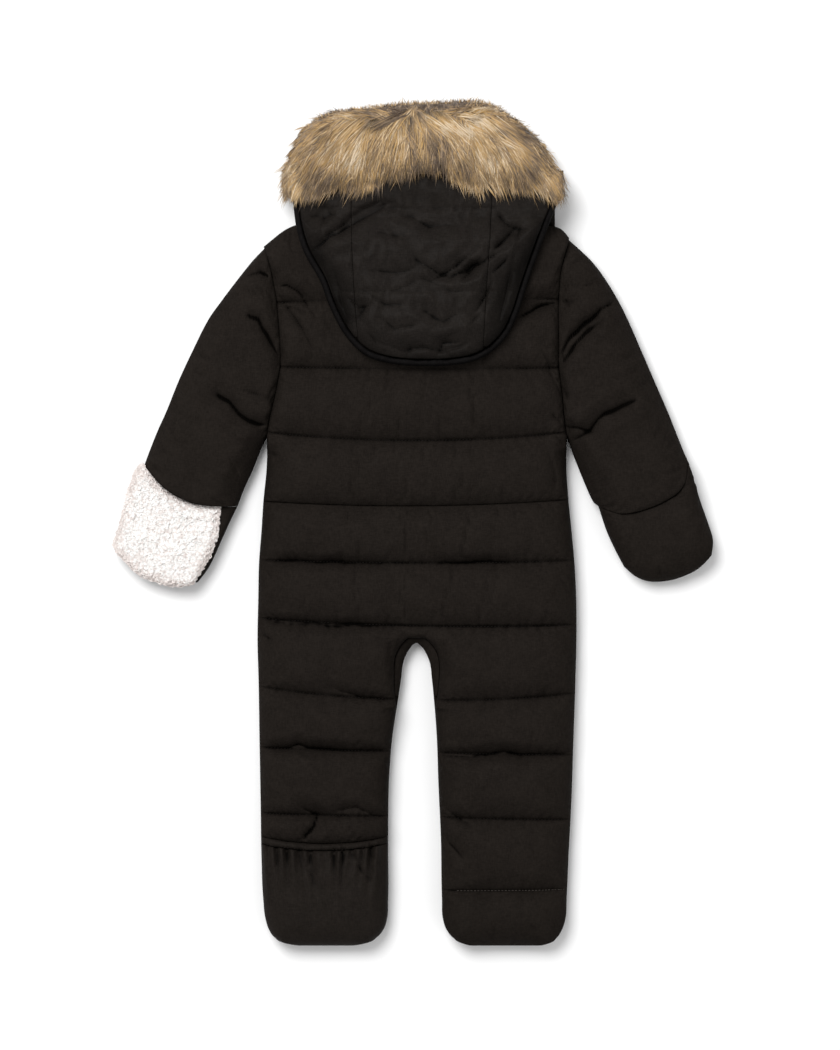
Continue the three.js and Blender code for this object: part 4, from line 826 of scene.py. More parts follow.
def seat_sheets(settings):
    """Both legs and the seat: a grid each above and below the crotch, and one between the upper two."""
    names = ["waist", "seat", "hip", "thigh", "knee", "shin"]
    lines = [line_y(name) for name in names]
    lines[0] = lambda x: line_y("waist")(x) - SEAM_GAP
    ends = {"left": [lambda x: foot_mouth(x) + SEAM_GAP],
            "right": [line_y("ankle"), lambda x: np.full(np.shape(x), FOOT_END_Y)]}
    across = crowded(settings.cells(142) + 1, 0.3)
    upper_rows = np.concatenate([channel_rows([settings.cells(58), settings.cells(64)])[:-1],
                                 mix(2, CROTCH_ROW, np.linspace(0, 1, 5))])
    grids, masks, sides = [], [], []
    borders = {}
    for side in ("left", "right"):
        all_lines = lines + ends[side]
        cells = [settings.cells(70)] * 3 + ([settings.cells(34)] if side == "left" else
                                            [settings.cells(76), settings.cells(62)])
        below = 2 + channel_rows(cells)
        below = np.concatenate([[CROTCH_ROW], below[below > CROTCH_ROW + 0.03]])
        first = (lambda v, s=side: edge_x(s, v)) if side == "left" else (lambda v, s=side: inseam_x(s, v))
        last = (lambda v, s=side: inseam_x(s, v)) if side == "left" else (lambda v, s=side: edge_x(s, v))
        for rows in (upper_rows, below):
            x, y, share = channel_grid(all_lines, first, last, across, rows)
            z = back_z(x, y, share, leg_rim(side, x, y))
            grids.append(np.stack([x, y, z], -1))
            masks.append(np.broadcast_to((rows % 1 == 0)[:, None], x.shape))
            sides.append(side)
        borders[side] = grids[-2]
    between = np.linspace(0, 1, 6)[None, :, None]
    middle = mix(borders["left"][:, -1:], borders["right"][:, :1], between)
    grids.append(middle)
    masks.append(np.broadcast_to((upper_rows % 1 == 0)[:, None], middle.shape[:2]))
    sides.append("left")
    padded = puffed(grids, masks, settings)
    stitches = lines[1:] + [line_y("ankle")]
    made = []
    for grid, side in zip(padded, sides):
        grid = finer(grid)
        x, y = grid[..., 0], grid[..., 1]
        halves = np.where(x < CENTRE_X, leg_rim("left", x, y), leg_rim("right", x, y))
        made.append(finished_back(grid, halves, settings, stitches))
    return made


def gusset_sheet():
    """The strip round the inside of the crotch: from the split's edge out to its seam, a little domed."""
    seam_top = GUSSET_SEAMS["y"][0]
    lowest = -184.0
    down = np.linspace(0, 1, 26)
    seam_y = mix(seam_top, lowest, down**1.5)
    edge_y = mix(CROTCH_Y - 0.5, lowest, down**1.5)
    seams = {side: np.stack([at(GUSSET_SEAMS, "y", seam_y, side), seam_y], -1) for side in ("left", "right")}
    edges = {side: np.stack([at(INSEAMS, "y", edge_y, side), edge_y], -1) for side in ("left", "right")}
    seam = np.vstack([seams["left"][::-1], seams["right"]])
    edge = np.vstack([edges["left"][::-1], edges["right"]])
    across = np.linspace(0, 1, 7)
    plan = mix(edge[:, None], seam[:, None], across[None, :, None] * 0.95)
    run = np.arange(len(seam))[:, None]
    height = EDGE_THICKNESS + 6.4 * np.sin(np.pi / 2 * across)[None]
    height = height + 0.9 * uneven(run * 2.0, across * 9, 5, 5, 5)
    z = BACK_BOTTOM + height
    return np.concatenate([plan, z[..., None]], -1)


# Fronts and other sides that lie on the surface

def under_z(distance, radius=FRONT_ROUNDING):
    """Height of an underside: a quarter circle in from the outline, then flat on the surface."""
    return (FRONT_TOP - EDGE_THICKNESS) * (1 - round_off(distance, radius))


def line_pinch(y):
    """How near a quilting line is, from 0 to 1, for the notches that it leaves in a rounded side."""
    middles = np.array([line[1] for name, line in QUILT_LINES.items() if name != "mouth"])
    return np.exp(-((np.abs(y[..., None] - middles).min(-1) / 5) ** 2))


def flap_x(edge, y):
    taper = clamp((FLAP_TAPER_Y - y) / (FLAP_TAPER_Y - FLAP_END_Y))
    return mix(edge, CENTRE_X + np.sign(edge) * 0.2, taper)


def front_sheet(side):
    """One front, hidden under the back: a plain shell to the outline, beside the flap."""
    outward = -1 if side == "left" else 1
    flap_edge = FLAP_LEFT if side == "left" else FLAP_RIGHT

    def inner(y):
        flap = flap_x(flap_edge, y) + outward * SEAM_GAP
        return np.where(y > CROTCH_Y, flap, at(INSEAMS, "y", y, side))

    def top(x):
        return straight_at(FRONT_NECKLINE, "x", x, "y")

    def outer(y):
        return edge_x(side, y)

    end_y = FOOT_END_Y if side == "left" else QUILT_LINES["mouth"][1] + SEAM_GAP
    lines = [top, lambda x: np.full(np.shape(x), 240.0), lambda x: np.full(np.shape(x), end_y)]
    rows = channel_rows([12, 120], 0.2)
    first, last = (outer, inner) if side == "left" else (inner, outer)
    x, y, _ = channel_grid(lines, first, last, crowded(40, 0.6), rows)
    seamed = np.where(y > UNDERARM_Y, FRONT_ROUNDING * SEAM_SHARE, 0)
    flapped = np.where(y > CROTCH_Y, FRONT_ROUNDING * SEAM_SHARE, 0)
    past_end = 0 if side == "left" else FRONT_ROUNDING * SEAM_SHARE
    away = np.minimum(np.abs(x - outer(y)) + seamed, np.abs(x - inner(y)) + flapped)
    away = np.minimum(away, np.minimum(y - end_y + past_end, top(x) - y))
    radius = FRONT_ROUNDING + 9 * line_pinch(y)
    z = under_z(away, radius)
    return np.stack([x, y, z], -1)


def flap_sheet():
    """The wind flap over the front closure, flat on the surface."""
    def top(x):
        return straight_at(FRONT_NECKLINE, "x", x, "y")

    lines = [top, lambda x: np.full(np.shape(x), float(FLAP_END_Y))]
    edges = (lambda y: flap_x(FLAP_LEFT, y)), (lambda y: flap_x(FLAP_RIGHT, y))
    x, y, _ = channel_grid(lines, *edges, crowded(14, 0.5), np.linspace(0, 1, 70))
    side = np.minimum(x - edges[0](y), edges[1](y) - x)
    z = under_z(FRONT_ROUNDING * SEAM_SHARE + np.minimum(side, top(x) - y))
    return np.stack([x, y, z], -1)


# Feet

def leg_edges(side):
    """A leg's outer and inner edge, in the order left to right."""
    def outer(y):
        return edge_x(side, y)

    def inner(y):
        return at(INSEAMS, "y", y, side)

    return (outer, inner) if side == "left" else (inner, outer)


def gather_wave(across):
    swing = np.sin(across * np.pi * 2 * GATHERS + np.sin(across * 9) * 1.4)
    return swing * (0.75 + 0.25 * np.sin(across * 23))


def cover_rim(side, x, y, radius):
    left, right = leg_edges(side)
    return round_off(np.minimum(np.minimum(x - left(y), right(y) - x), y - FOOT_END_Y), radius)


def cover_sheet():
    """The foot cover: rounded to its outline, and drawn into gathers that fade away from the casing."""
    def start(x):
        return foot_mouth(x) - CASING_DEPTH - SEAM_GAP

    lines = [start, lambda x: np.full(np.shape(x), FOOT_END_Y)]
    rows = crowded(60, 0.35)
    across = crowded(110, 0.4)
    x, y, _ = channel_grid(lines, *leg_edges("left"), across, rows)
    rim = cover_rim("left", x, y, 32)
    away = np.maximum(start(x) - y, 0)
    share = np.broadcast_to(across, x.shape)
    reach = 11 + 20 * np.abs(uneven(share * 134, share * 0, 17, 1, 65))
    lean = share + 0.0022 * away * (share - 0.5 + 0.35 * np.sin(share * 11))
    folds = gather_wave(lean) + 1.3 * uneven(lean * 134, share * 0, 5.5, 1, 66)
    gather = 5.0 * folds * np.exp(-away / reach)
    gather -= crease_depth(x, y, COVER_CREASES)
    fine = 0.7 * uneven(lean * 134, away, 3.2, 9, 61) * np.exp(-away / 12)
    rise = mix(0.72, 1, round_off(away, 30))
    soft = 0.5 * crumple(x, y, 21, 17) * clamp(away / 30)
    z = BACK_BOTTOM + EDGE_THICKNESS + rim * (COVER_CROWN * rise + gather + fine + soft)
    return np.stack([x, y, z], -1)


def casing_sheet():
    """The casing of the elastic: a small roll, stitched along its lower edge, with the cover's gathers."""
    def end(x):
        return foot_mouth(x) - CASING_DEPTH

    rows = crowded(13, 0.3)
    across = crowded(150, 0.4)
    x, y, _ = channel_grid([foot_mouth, end], *leg_edges("left"), across, rows)
    rim = cover_rim("left", x, y, 32)
    share = np.broadcast_to(across, x.shape)
    gather = 1.3 * gather_wave(share) + 0.7 * uneven(share * 134, share * 0, 2.6, 1, 63)
    gather *= 0.45 + 0.55 * rows[:, None]
    lip = 3 * np.exp(-((x + 112) / 8) ** 2) + 1.6 * np.exp(-((x + 62) / 14) ** 2)
    height = mix(0.64, 0.84, pillow(rows[:, None])) * COVER_CROWN
    z = BACK_BOTTOM + EDGE_THICKNESS + rim * (height + gather - lip * (1 - rows[:, None]))
    return np.stack([x, y, z], -1)


def right_cover_sheet():
    """The right foot cover, on the side that lies on the surface."""
    start = float(foot_mouth(np.array(100.0)))
    lines = [lambda x: np.full(np.shape(x), start), lambda x: np.full(np.shape(x), FOOT_END_Y)]
    x, y, _ = channel_grid(lines, *leg_edges("right"), crowded(34, 0.6), crowded(34, 0.5))
    left, right = leg_edges("right")
    away = np.minimum(np.minimum(x - left(y), right(y) - x), y - FOOT_END_Y)
    away = np.minimum(away, FRONT_ROUNDING * SEAM_SHARE + start - y)
    return np.stack([x, y, under_z(away)], -1)


# Sleeves and mittens

def sleeve_edges(side, shape):
    """A sleeve's four edges; the armhole edge is tucked a little under the yoke at the shoulder."""
    outward = -1 if side == "left" else 1
    y = np.linspace(shape["outer"][0][1], shape["inner"][0][1], 31)
    tucked = 1.3 * clamp((y - y[0] + 14) / 8)
    seam = np.stack([edge_x(side, y) + outward * (SEAM_GAP - tucked), y], -1)
    return {
        "start": seam,
        "end": smooth_path(shape["cuff"], 60),
        "first": smooth_path([seam[0], *shape["outer"][1:]], 60),
        "last": smooth_path([seam[-1], *shape["inner"][1:]], 60),
    }


def sleeve_sheets(side, shape, settings):
    """The upper and lower side of a sleeve over one plan, each rounded to the edges and low at the seams."""
    edges = sleeve_edges(side, shape)
    across = crowded(settings.cells(118) + 1, 0.4)
    along = crowded(settings.cells(230) + 1, 0.15)

    def rims(x, y, u, v):
        width = np.linalg.norm(on_path(edges["first"], v) - on_path(edges["last"], v), axis=-1)
        away = np.minimum(u, 1 - u) * width
        end = np.minimum(v, 1 - v) * 200
        return away, end

    x, y, u, v = patch(edges, across, along)
    away, end = rims(x, y, u, v)
    ends = mix(np.where(v < 0.5, SEAM_SHARE, CUFF_SHARE), 1, round_off(end, 16))
    loft = SLEEVE_CROWN * round_off(away, 36) * ends
    upper = np.stack([x, y, BACK_BOTTOM + EDGE_THICKNESS + loft], -1)
    calm = np.zeros(x.shape, bool)
    (upper,) = puffed([upper], [calm], settings)
    upper = finer(upper)
    lower = finer(np.stack([x, y, under_z(np.minimum(away, FRONT_ROUNDING * SEAM_SHARE + end))], -1))
    x, y, z = (upper[..., k] for k in range(3))
    u = finer(u[..., None])[..., 0]
    v = finer(v[..., None])[..., 0]
    away, end = rims(x, y, u, v)
    rim = round_off(away, 36)
    depth = crease_depth(x, y, CREASES)
    fine = settings.crumple_depth / MM * 1.3 * crumple(x, y, 17, 27)
    fine += 0.7 * settings.pucker_depth / MM * pucker(y, x, v * 200, 12, 310)
    fine += 0.7 * settings.pucker_depth / MM * pucker(x + y, x, (1 - v) * 200, 9, 330)
    z = np.maximum(z + (fine - depth) * rim, BACK_BOTTOM + 0.8)
    lower[..., :2] = upper[..., :2]
    return np.stack([x, y, z], -1), lower


def cuff_line(shape, start, end, gap, count=80):
    curve = shifted_path(smooth_path(shape["cuff"], 100), gap)
    return on_path(curve, np.linspace(start, end, count))


def fleece_sheet():
    """The turned-out mitten's pile: rounded to its edges and covered in small round curls."""
    edges = {
        "start": cuff_line(SLEEVE_LEFT, 0, FLEECE_SHARE, -SEAM_GAP),
        "end": smooth_path(MITT_LEFT["tip"], 60),
        "first": smooth_path(MITT_LEFT["outer"], 60),
        "last": smooth_path(MITT_LEFT["inner"], 60),
    }
    x, y, u, v = patch(edges, crowded(96, 0.3), crowded(90, 0.3))
    away = np.minimum(np.minimum(u, 1 - u), np.minimum(v, 1 - v)) * 90
    rim = round_off(away + 1.6, 15)
    roll = 2.2 * np.exp(-(((away - 6) / 4.5) ** 2)) * (v > 0.12)
    curls = 1.3 * (1 - np.abs(uneven(x, y, 3.1, 3.1, 71)) * 1.6)
    curls += 0.8 * (1 - np.abs(uneven(x + 9, y, 1.9, 1.9, 73)) * 1.6)
    swell = 1.8 * uneven(x, y, 17, 15, 75)
    z = BACK_BOTTOM + 1 + rim * (FLEECE_CROWN - 3 + roll + curls + swell)
    return np.stack([x, y, z], -1)


def mitten_left_sheets():
    """The turned-out mitten's shell: a flat underside, and on top a narrow strip beside the fleece."""
    whole = {
        "start": cuff_line(SLEEVE_LEFT, 0, 1, -SEAM_GAP),
        "end": smooth_path([*MITT_LEFT["tip"], (-228.4, -64.4)], 60),
        "first": smooth_path(MITT_LEFT["outer"], 60),
        "last": smooth_path(MITT_LEFT["shell_inner"], 60),
    }
    x, y, u, v = patch(whole, crowded(44, 0.5), crowded(40, 0.5))
    away = np.minimum(np.minimum(u, 1 - u) * 100, np.minimum(v, 1 - v) * 85)
    lower = np.stack([x, y, under_z(away)], -1)
    inset = SEAM_GAP + 0.1
    inner = smooth_path(MITT_LEFT["inner"], 60) + np.array([inset, -inset / 2])
    strip = {
        "start": cuff_line(SLEEVE_LEFT, FLEECE_SHARE + inset / 110, 1, 1.2),
        "end": np.array([(-232.2, -65.3), (-228.4, -64.4)]),
        "first": inner,
        "last": smooth_path(MITT_LEFT["shell_inner"], 60),
    }
    x, y, u, v = patch(strip, np.linspace(0, 1, 12), crowded(50, 0.3))
    fine = 0.9 * uneven(x, y, 5, 6, 81)
    z = BACK_BOTTOM + EDGE_THICKNESS + (8 + fine) * round_off((1 - u) * 16, 14)
    return lower, np.stack([x, y, z], -1)


def mitten_right_sheets(settings):
    """The closed mitten: its upper side starts at the mouth's seam and is rounded to the hand's outline."""
    edges = {
        "start": cuff_line(SLEEVE_RIGHT, 0, 1, SEAM_GAP),
        "end": smooth_path(MITT_RIGHT["tip"], 60),
        "first": smooth_path(MITT_RIGHT["outer"], 60),
        "last": smooth_path(MITT_RIGHT["inner"], 60),
    }
    across, along = crowded(settings.cells(105) + 1, 0.4), crowded(settings.cells(85) + 1, 0.3)
    x, y, u, v = patch(edges, across, along)
    inset = np.minimum(np.minimum(u, 1 - u) * 105, np.minimum((1 - v) * 85, 17 + v * 85))
    upper = np.stack([x, y, BACK_BOTTOM + EDGE_THICKNESS + (SLEEVE_CROWN - 2) * round_off(inset, 26)], -1)
    (upper,) = puffed([upper], [np.zeros(x.shape, bool)], settings)
    upper = finer(upper)
    lower = finer(np.stack([x, y, under_z(inset)], -1))
    u, v = finer(u[..., None])[..., 0], finer(v[..., None])[..., 0]
    x, y, z = (upper[..., k] for k in range(3))
    inset = np.minimum(np.minimum(u, 1 - u) * 105, np.minimum((1 - v) * 85, 17 + v * 85))
    fine = 0.5 * crumple(x, y, 15, 91) + 0.7 * pucker(x + y, y, v * 85, 9, 95)
    ripple = 1.1 * np.sin(v * 24) * np.exp(-u * 14)
    z = z + (fine + ripple) * round_off(inset, 26)
    lower[..., :2] = upper[..., :2]
    return np.stack([x, y, z], -1), lower


# Hood

def hood_side_x(path, side, y):
    """Where the hood's outline crosses a height, on one side."""
    half = path[:len(path) // 2] if side == "left" else path[len(path) // 2:][::-1]
    order = np.argsort(half[:, 1])
    return np.interp(y, half[order, 1], half[order, 0])


def hood_crown_y(path, x):
    crown = path[path[:, 1] < 215]
    return np.interp(x, crown[:, 0], crown[:, 1])


def hood_top_z(x, y):
    """Height of the hood: low at its rim, furrowed at its seams and cross stitches, creased along listed
    lines.
    """
    outline = smooth_path(HOOD_POINTS, 60)
    rim = round_off(path_distance(x, y, outline)[0] - BINDING_WIDTH + 1.5, 42)
    furrow = sum(1.5 * np.exp(-(np.abs(y - line) / 2.4)) for line in HOOD_CROSS_LINES)
    seam = np.minimum(np.abs(x - at(HOOD_SEAMS, "y", y, "left")), np.abs(x - at(HOOD_SEAMS, "y", y, "right")))
    furrow = furrow + 1.3 * np.exp(-seam / 2.6)
    furrow = furrow + 1.7 * crease_depth(x, y, HOOD_CREASES)
    fine = 2.3 * crumple(x, y, 25, 51) + 1.5 * crumple(y, x, 11, 57) + 1.3 * pucker(y, x, seam, 11, 53)
    for number, line in enumerate(HOOD_CROSS_LINES):
        fine = fine + 0.8 * pucker(x, y, np.abs(y - line), 9, 56 + 5 * number)
    rumple = 1.6 * pucker(x, y, np.maximum(y - hood_crown_y(outline, x), 0), 10, 66)
    lowest = HOOD_BOTTOM + HOOD_CLOTH + 0.2
    under_fur = HOOD_UNDER_FUR - 0.2 + np.maximum(0, 318 - y) * 0.5
    smooth = np.minimum(lowest + HOOD_LOFT * rim, under_fur - 1.5)
    return np.clip(smooth + (fine + rumple - furrow) * rim, lowest, np.maximum(under_fur, lowest))


def hood_dusk_reach(y):
    """How far the painted shade at the hood's rim reaches: widest halfway down both sides."""
    return 9 + 19 * np.exp(-(((y - 244) / 48) ** 2))


def hood_panel(side):
    """A hood panel's plan between its seam and the rim, and its height."""
    outline = smooth_path(HOOD_POINTS, 60)
    inner = shifted_path(outline, BINDING_WIDTH + 3 * SEAM_GAP)
    top = HOOD_TOP_Y
    if side == "centre":
        across, down = np.meshgrid(crowded(100, 0.25), crowded(128, 0.2))
        x = mix(-60, 72, across)
        for _ in range(5):
            y = mix(top, hood_crown_y(inner, x), down)
            left = at(HOOD_SEAMS, "y", y, "left") + SEAM_GAP / 2
            right = at(HOOD_SEAMS, "y", y, "right") - SEAM_GAP / 2
            x = mix(left, right, across)
    else:
        lowest = {"left": 192, "right": 182}[side]
        across, down = np.meshgrid(crowded(48, 0.2), crowded(128, 0.2))
        y = mix(top, lowest, down)
        inward = -SEAM_GAP / 2 if side == "left" else SEAM_GAP / 2
        seam = at(HOOD_SEAMS, "y", y, side) + inward
        x = mix(hood_side_x(inner, side, y), seam, across if side == "left" else 1 - across)
    z = hood_top_z(x, y)
    return np.stack([x, y, z], -1)


def binding_rings():
    """The rim's folded tape: a rounded profile carried along the outline, a little bunched."""
    outline = smooth_path(HOOD_POINTS, 260)
    share = np.array([0.02, -0.03, 0.02, 0.16, 0.36, 0.58, 0.8, 0.96, 1.0, 0.98])
    heights = np.array([NAPE_BOTTOM + 0.2, 40, 46, 49, 50.6, 51, 50.6, 49, 45, NAPE_BOTTOM + 0.2])
    paths = np.stack([shifted_path(outline, s * BINDING_WIDTH) for s in share], 1)
    run = np.arange(len(outline))[:, None]
    bunch = 1.1 * uneven(run, run * 0, 5, 1, 33) + 0.7 * uneven(run, run * 0, 2, 1, 34)
    bunch = bunch * mix(2.2, 0.7, clamp((outline[:, 1:] - 172) / 60))
    z = heights + bunch * (heights > 45)
    return np.concatenate([paths, z[..., None]], -1)


def nape_sheet():
    """The hood's layer that lies on the back."""
    inner = shifted_path(smooth_path(HOOD_POINTS, 60), BINDING_WIDTH + 3 * SEAM_GAP)
    y = np.linspace(322, 173, 40)
    left, right = hood_side_x(inner, "left", y) + 1, hood_side_x(inner, "right", y) - 1
    plan_x = mix(left[:, None], right[:, None], np.linspace(0, 1, 30)[None])
    plan_y = np.broadcast_to(y[:, None], plan_x.shape)
    return np.stack([plan_x, plan_y, np.full(plan_x.shape, NAPE_TOP)], -1)


def chin_sheet():
    """The hood's front ends, between the fur and the fronts' neckline."""
    x, down = np.meshgrid(np.linspace(-125, 148, 70), crowded(24, 0.3))
    lower = straight_at(FRONT_NECKLINE, "x", x, "y") + SEAM_GAP + 1
    y = mix(HOOD_TOP_Y - 0.1, lower, down)
    away = np.minimum(np.minimum(x + 125, 148 - x), FRONT_ROUNDING * SEAM_SHARE + y - lower)
    return np.stack([x, y, under_z(away)], -1)


# Fur

def fur_edge_y(x):
    """The fur's upper outline above a place."""
    outline = smooth_path(FUR_POINTS, 80)
    order = np.argsort(outline[:, 0])
    return np.maximum(np.interp(x, outline[order, 0], outline[order, 1]), FUR_FOLD_Y + 8)


def fur_down(x, y):
    """How far down the roll a place lies: 0 at the outline, 1 at the fold, 2 at the tips of the fringe."""
    upper = (fur_edge_y(x) - y) / (fur_edge_y(x) - FUR_FOLD_Y)
    lower = 1 + (FUR_FOLD_Y - y) / (FUR_FOLD_Y - at(FRINGE, "x", x, "y"))
    return np.where(y > FUR_FOLD_Y, upper, lower)


def fur_height(x, down):
    """Height of the roll above the layer it starts from, lower towards its two ends."""
    ends = round_off(np.minimum(x - FUR_LEFT, FUR_RIGHT - x) + 1.5, 44)
    return np.interp(down, FUR_PROFILE["down"], FUR_PROFILE["height"]) * ends


def over_hood(x, y):
    return (x > HOOD_EDGE_LEFT) & (x < HOOD_EDGE_RIGHT) & (y < FUR_FOLD_Y + 1)


def fur_base_sheets():
    """The backing of the fur: the roll's own form at a lower height, from its outline down to the fold."""
    x, down = np.meshgrid(np.linspace(FUR_LEFT + 3, FUR_RIGHT - 3, 110), np.linspace(0.04, 1, 40))
    y = mix(fur_edge_y(x), FUR_FOLD_Y + 0.3, down)
    tall = fur_height(x, down) * 0.74 + 1.2 * uneven(x, y, 7, 9, 21) * clamp(down * 4)
    z = BACK_BOTTOM + np.maximum(tall, 2)
    return np.stack([x, y, z], -1)


def fur_chin_sheet():
    """The backing of the lower roll: rounded at its ends and its outline."""
    x, down = np.meshgrid(np.linspace(FUR_CHIN_LEFT, FUR_CHIN_RIGHT, 100), crowded(26, 0.4))
    y = mix(fur_edge_y(x) - 1, FUR_FOLD_Y + 0.4, down)
    ends = np.minimum(x - FUR_CHIN_LEFT, FUR_CHIN_RIGHT - x)
    edges = np.minimum(down * 75, FRONT_ROUNDING * SEAM_SHARE + (1 - down) * 75)
    away = np.minimum(ends, edges)
    return np.stack([x, y, under_z(away)], -1)


def ribbons(spines, widths, sideways):
    """Tapered ribbons: each spine is a row of points, widened to both sides and brought to one tip."""
    count, steps = spines.shape[:2]
    if sideways.ndim == 2:
        sideways = np.repeat(sideways[:, None], steps, axis=1)
    half = sideways[:, :-1] * widths[None, :-1, None] / 2
    left, right = spines[:, :-1] - half, spines[:, :-1] + half
    body = np.stack([left, right], 2).reshape(count, -1, 3)
    points = np.concatenate([body, spines[:, -1:]], 1)
    per = points.shape[1]
    rung = np.arange(steps - 2) * 2
    quads = np.stack([rung, rung + 1, rung + 3, rung + 2], -1)
    tip = np.array([[per - 3, per - 2, per - 1]])
    start = (np.arange(count) * per)[:, None, None]
    quads = (start + quads[None]).reshape(-1, 4)
    tips = (start + tip[None]).reshape(-1, 3)
    along = np.concatenate([np.repeat(np.linspace(0, 1, steps)[:-1], 2), [1.0]])
    return points.reshape(-1, 3), quads, tips, np.tile(along, count), per


def ribbon_mesh(name, spines, widths, sideways, tones):
    """Ribbons as one mesh, with each strand's tone and its place along the strand as a UV map."""
    points, quads, tips, along, per = ribbons(spines, widths, sideways)
    mesh = fill_mesh(name, points, [quads, tips])
    layer = mesh.uv_layers.new(name="strand")
    corner = np.concatenate([quads.ravel(), tips.ravel()])
    uv = np.stack([np.repeat(tones, per)[corner], along[corner]], -1)
    layer.data.foreach_set("uv", uv.astype(np.float32).ravel())
    return mesh


def fur_room(x, y, outline):
    """How far places lie within the fur's outline; outside it the number is below 0."""
    away = path_distance(x, y, outline)[0]
    return np.where(inside_path(x, y, outline), away, -away)


def fur_locks(settings):
    """Locks of strands: each lock's strands start close together, bend downwards and meet at the tip."""
    draw = np.random.default_rng(2024)
    locks, strands = settings.fur_locks, settings.fur_strands
    x0 = draw.uniform(FUR_LEFT + 12, FUR_RIGHT - 12, locks)
    down0 = draw.beta(1.0, 1.15, locks)
    lowest = at(FUR_TIPS, "x", x0, "y") + 18
    y0 = mix(fur_edge_y(x0) - 6, lowest, down0)
    spread = (x0 - 6) / 150
    vx = spread * (1.5 - 0.75 * clamp(down0)) + draw.normal(0, 0.2, locks)
    vy = -(0.36 + 0.7 * clamp(down0)) + draw.normal(0, 0.13, locks)
    lifted = (draw.uniform(0, 1, locks) < 0.5) & (down0 < 0.2)
    vy = np.where(lifted, draw.uniform(-0.05, 0.6, locks), vy)
    vx = np.where(lifted, vx * 1.3 + draw.normal(0, 0.35, locks), vx)
    norm = np.hypot(vx, vy)
    vx, vy = vx / norm, vy / norm
    long = settings.fur_length / MM * draw.uniform(0.7, 1.2, locks)
    long = np.where(lifted, long * 0.45, long)
    tone = draw.uniform(0, 1, locks)
    layer = draw.uniform(0, 1, locks)
    bow = -np.sign(spread) * (3 + 7 * np.abs(spread)) + draw.normal(0, 3.5, locks)
    overhang = draw.normal(-4.5, 2.8, locks)

    many = locks * strands
    lock = np.repeat(np.arange(locks), strands)
    round_about = draw.uniform(0, 2 * np.pi, many)
    radius = 7.0 * np.sqrt(draw.uniform(0, 1, many))
    off = np.stack([np.cos(round_about) * radius, np.sin(round_about) * radius * 0.8], -1)
    own = draw.normal(0, 0.07, many)
    dx = vx[lock] * np.cos(own) - vy[lock] * np.sin(own)
    dy = vx[lock] * np.sin(own) + vy[lock] * np.cos(own)
    t = np.linspace(0, 1, 6)[None]
    meet = 1 - 0.8 * t**1.2
    length = (long[lock] * draw.uniform(0.8, 1.1, many))[:, None]
    bend = ((bow[lock] + draw.normal(0, 1.4, many))[:, None] / 50) * length * t**2
    wisps = (draw.uniform(0, 1, many) < 0.07) * draw.uniform(4, 11, many)
    own_overhang = overhang[lock] + draw.normal(0, 2.4, many) + wisps
    tip_x = np.linspace(FUR_RIGHT, FUR_LEFT, 180)
    jag = 5 * np.abs(uneven(tip_x, tip_x * 0, 15, 1, 91)) + 3 * uneven(tip_x, tip_x * 0, 5, 1, 92)
    tip_y = at(FUR_TIPS, "x", tip_x, "y") - 3 - jag
    outline = np.vstack([smooth_path(FUR_POINTS, 60), np.column_stack([tip_x, tip_y])])
    shorter = np.ones((many, 1))
    for _ in range(9):
        x = x0[lock][:, None] + off[:, :1] * meet + (dx[:, None] * length * t - dy[:, None] * bend) * shorter
        y = y0[lock][:, None] + off[:, 1:] * meet + (dy[:, None] * length * t + dx[:, None] * bend) * shorter
        room = np.minimum(fur_room(x[:, -1], y[:, -1], outline), fur_room(x[:, 3], y[:, 3], outline))
        shorter = np.where((room < -own_overhang)[:, None], shorter * 0.82, shorter)
    down = fur_down(x, y)
    high = BACK_BOTTOM + fur_height(np.clip(x, FUR_LEFT, FUR_RIGHT), np.clip(down, 0, 2))
    depth = (layer[lock] * 0.7 + draw.uniform(0, 0.3, many))[:, None]
    z = high - 3 - 9 * (1 - depth) * (1 - 0.5 * t) - 3.5 * (1 - t) ** 2
    z = z + draw.normal(0, 1.2, many)[:, None] * t
    floor = np.where(over_hood(x, y), FRINGE_BOTTOM + 0.8 + 2.2 * depth, 15 + 4 * depth)
    z = np.maximum(z, floor)
    z = np.where((down < 0.02) & (y > FUR_FOLD_Y), np.minimum(z, 16 + 22 * depth + 40 * clamp(down)), z)
    spines = np.stack([x, y, z], -1)
    dark_top = 0.32 * np.exp(-(((x0 - 10) / 60) ** 2) - np.maximum(down0, 0) / 0.2)
    tones = clamp((tone - dark_top)[lock] * 0.5 + draw.uniform(0, 1, many) * 0.5)
    return spines, tones, x0[lock], draw


def chin_strands(settings, draw):
    """Strands of the lower roll: out from its outline, close over the surface."""
    many = settings.fur_under_strands
    outline = smooth_path(FUR_POINTS, 400)
    place = draw.uniform(0, 1, many)
    start = on_path(outline, place)
    ahead = np.gradient(outline, axis=0)
    ahead /= np.linalg.norm(ahead, axis=1, keepdims=True)
    normal = on_path(np.stack([-ahead[:, 1], ahead[:, 0]], -1), place)
    lean = draw.normal(0, 0.5, many)[:, None] * on_path(ahead, place)
    way = normal + lean + np.array([0, -0.25])
    way /= np.linalg.norm(way, axis=1, keepdims=True)
    t = np.linspace(0, 1, 6)[None, :, None]
    inset = draw.uniform(3, 14, many)[:, None]
    length = inset + draw.uniform(-1, 4.5, many)[:, None]
    plan = (start - normal * inset)[:, None] + way[:, None] * length[:, None] * t
    height = draw.uniform(2, 26, many)[:, None] * np.array([[1, 1, 0.99, 0.95, 0.88, 0.8]])
    return np.concatenate([plan, height[..., None]], -1), draw.uniform(0, 1, many)


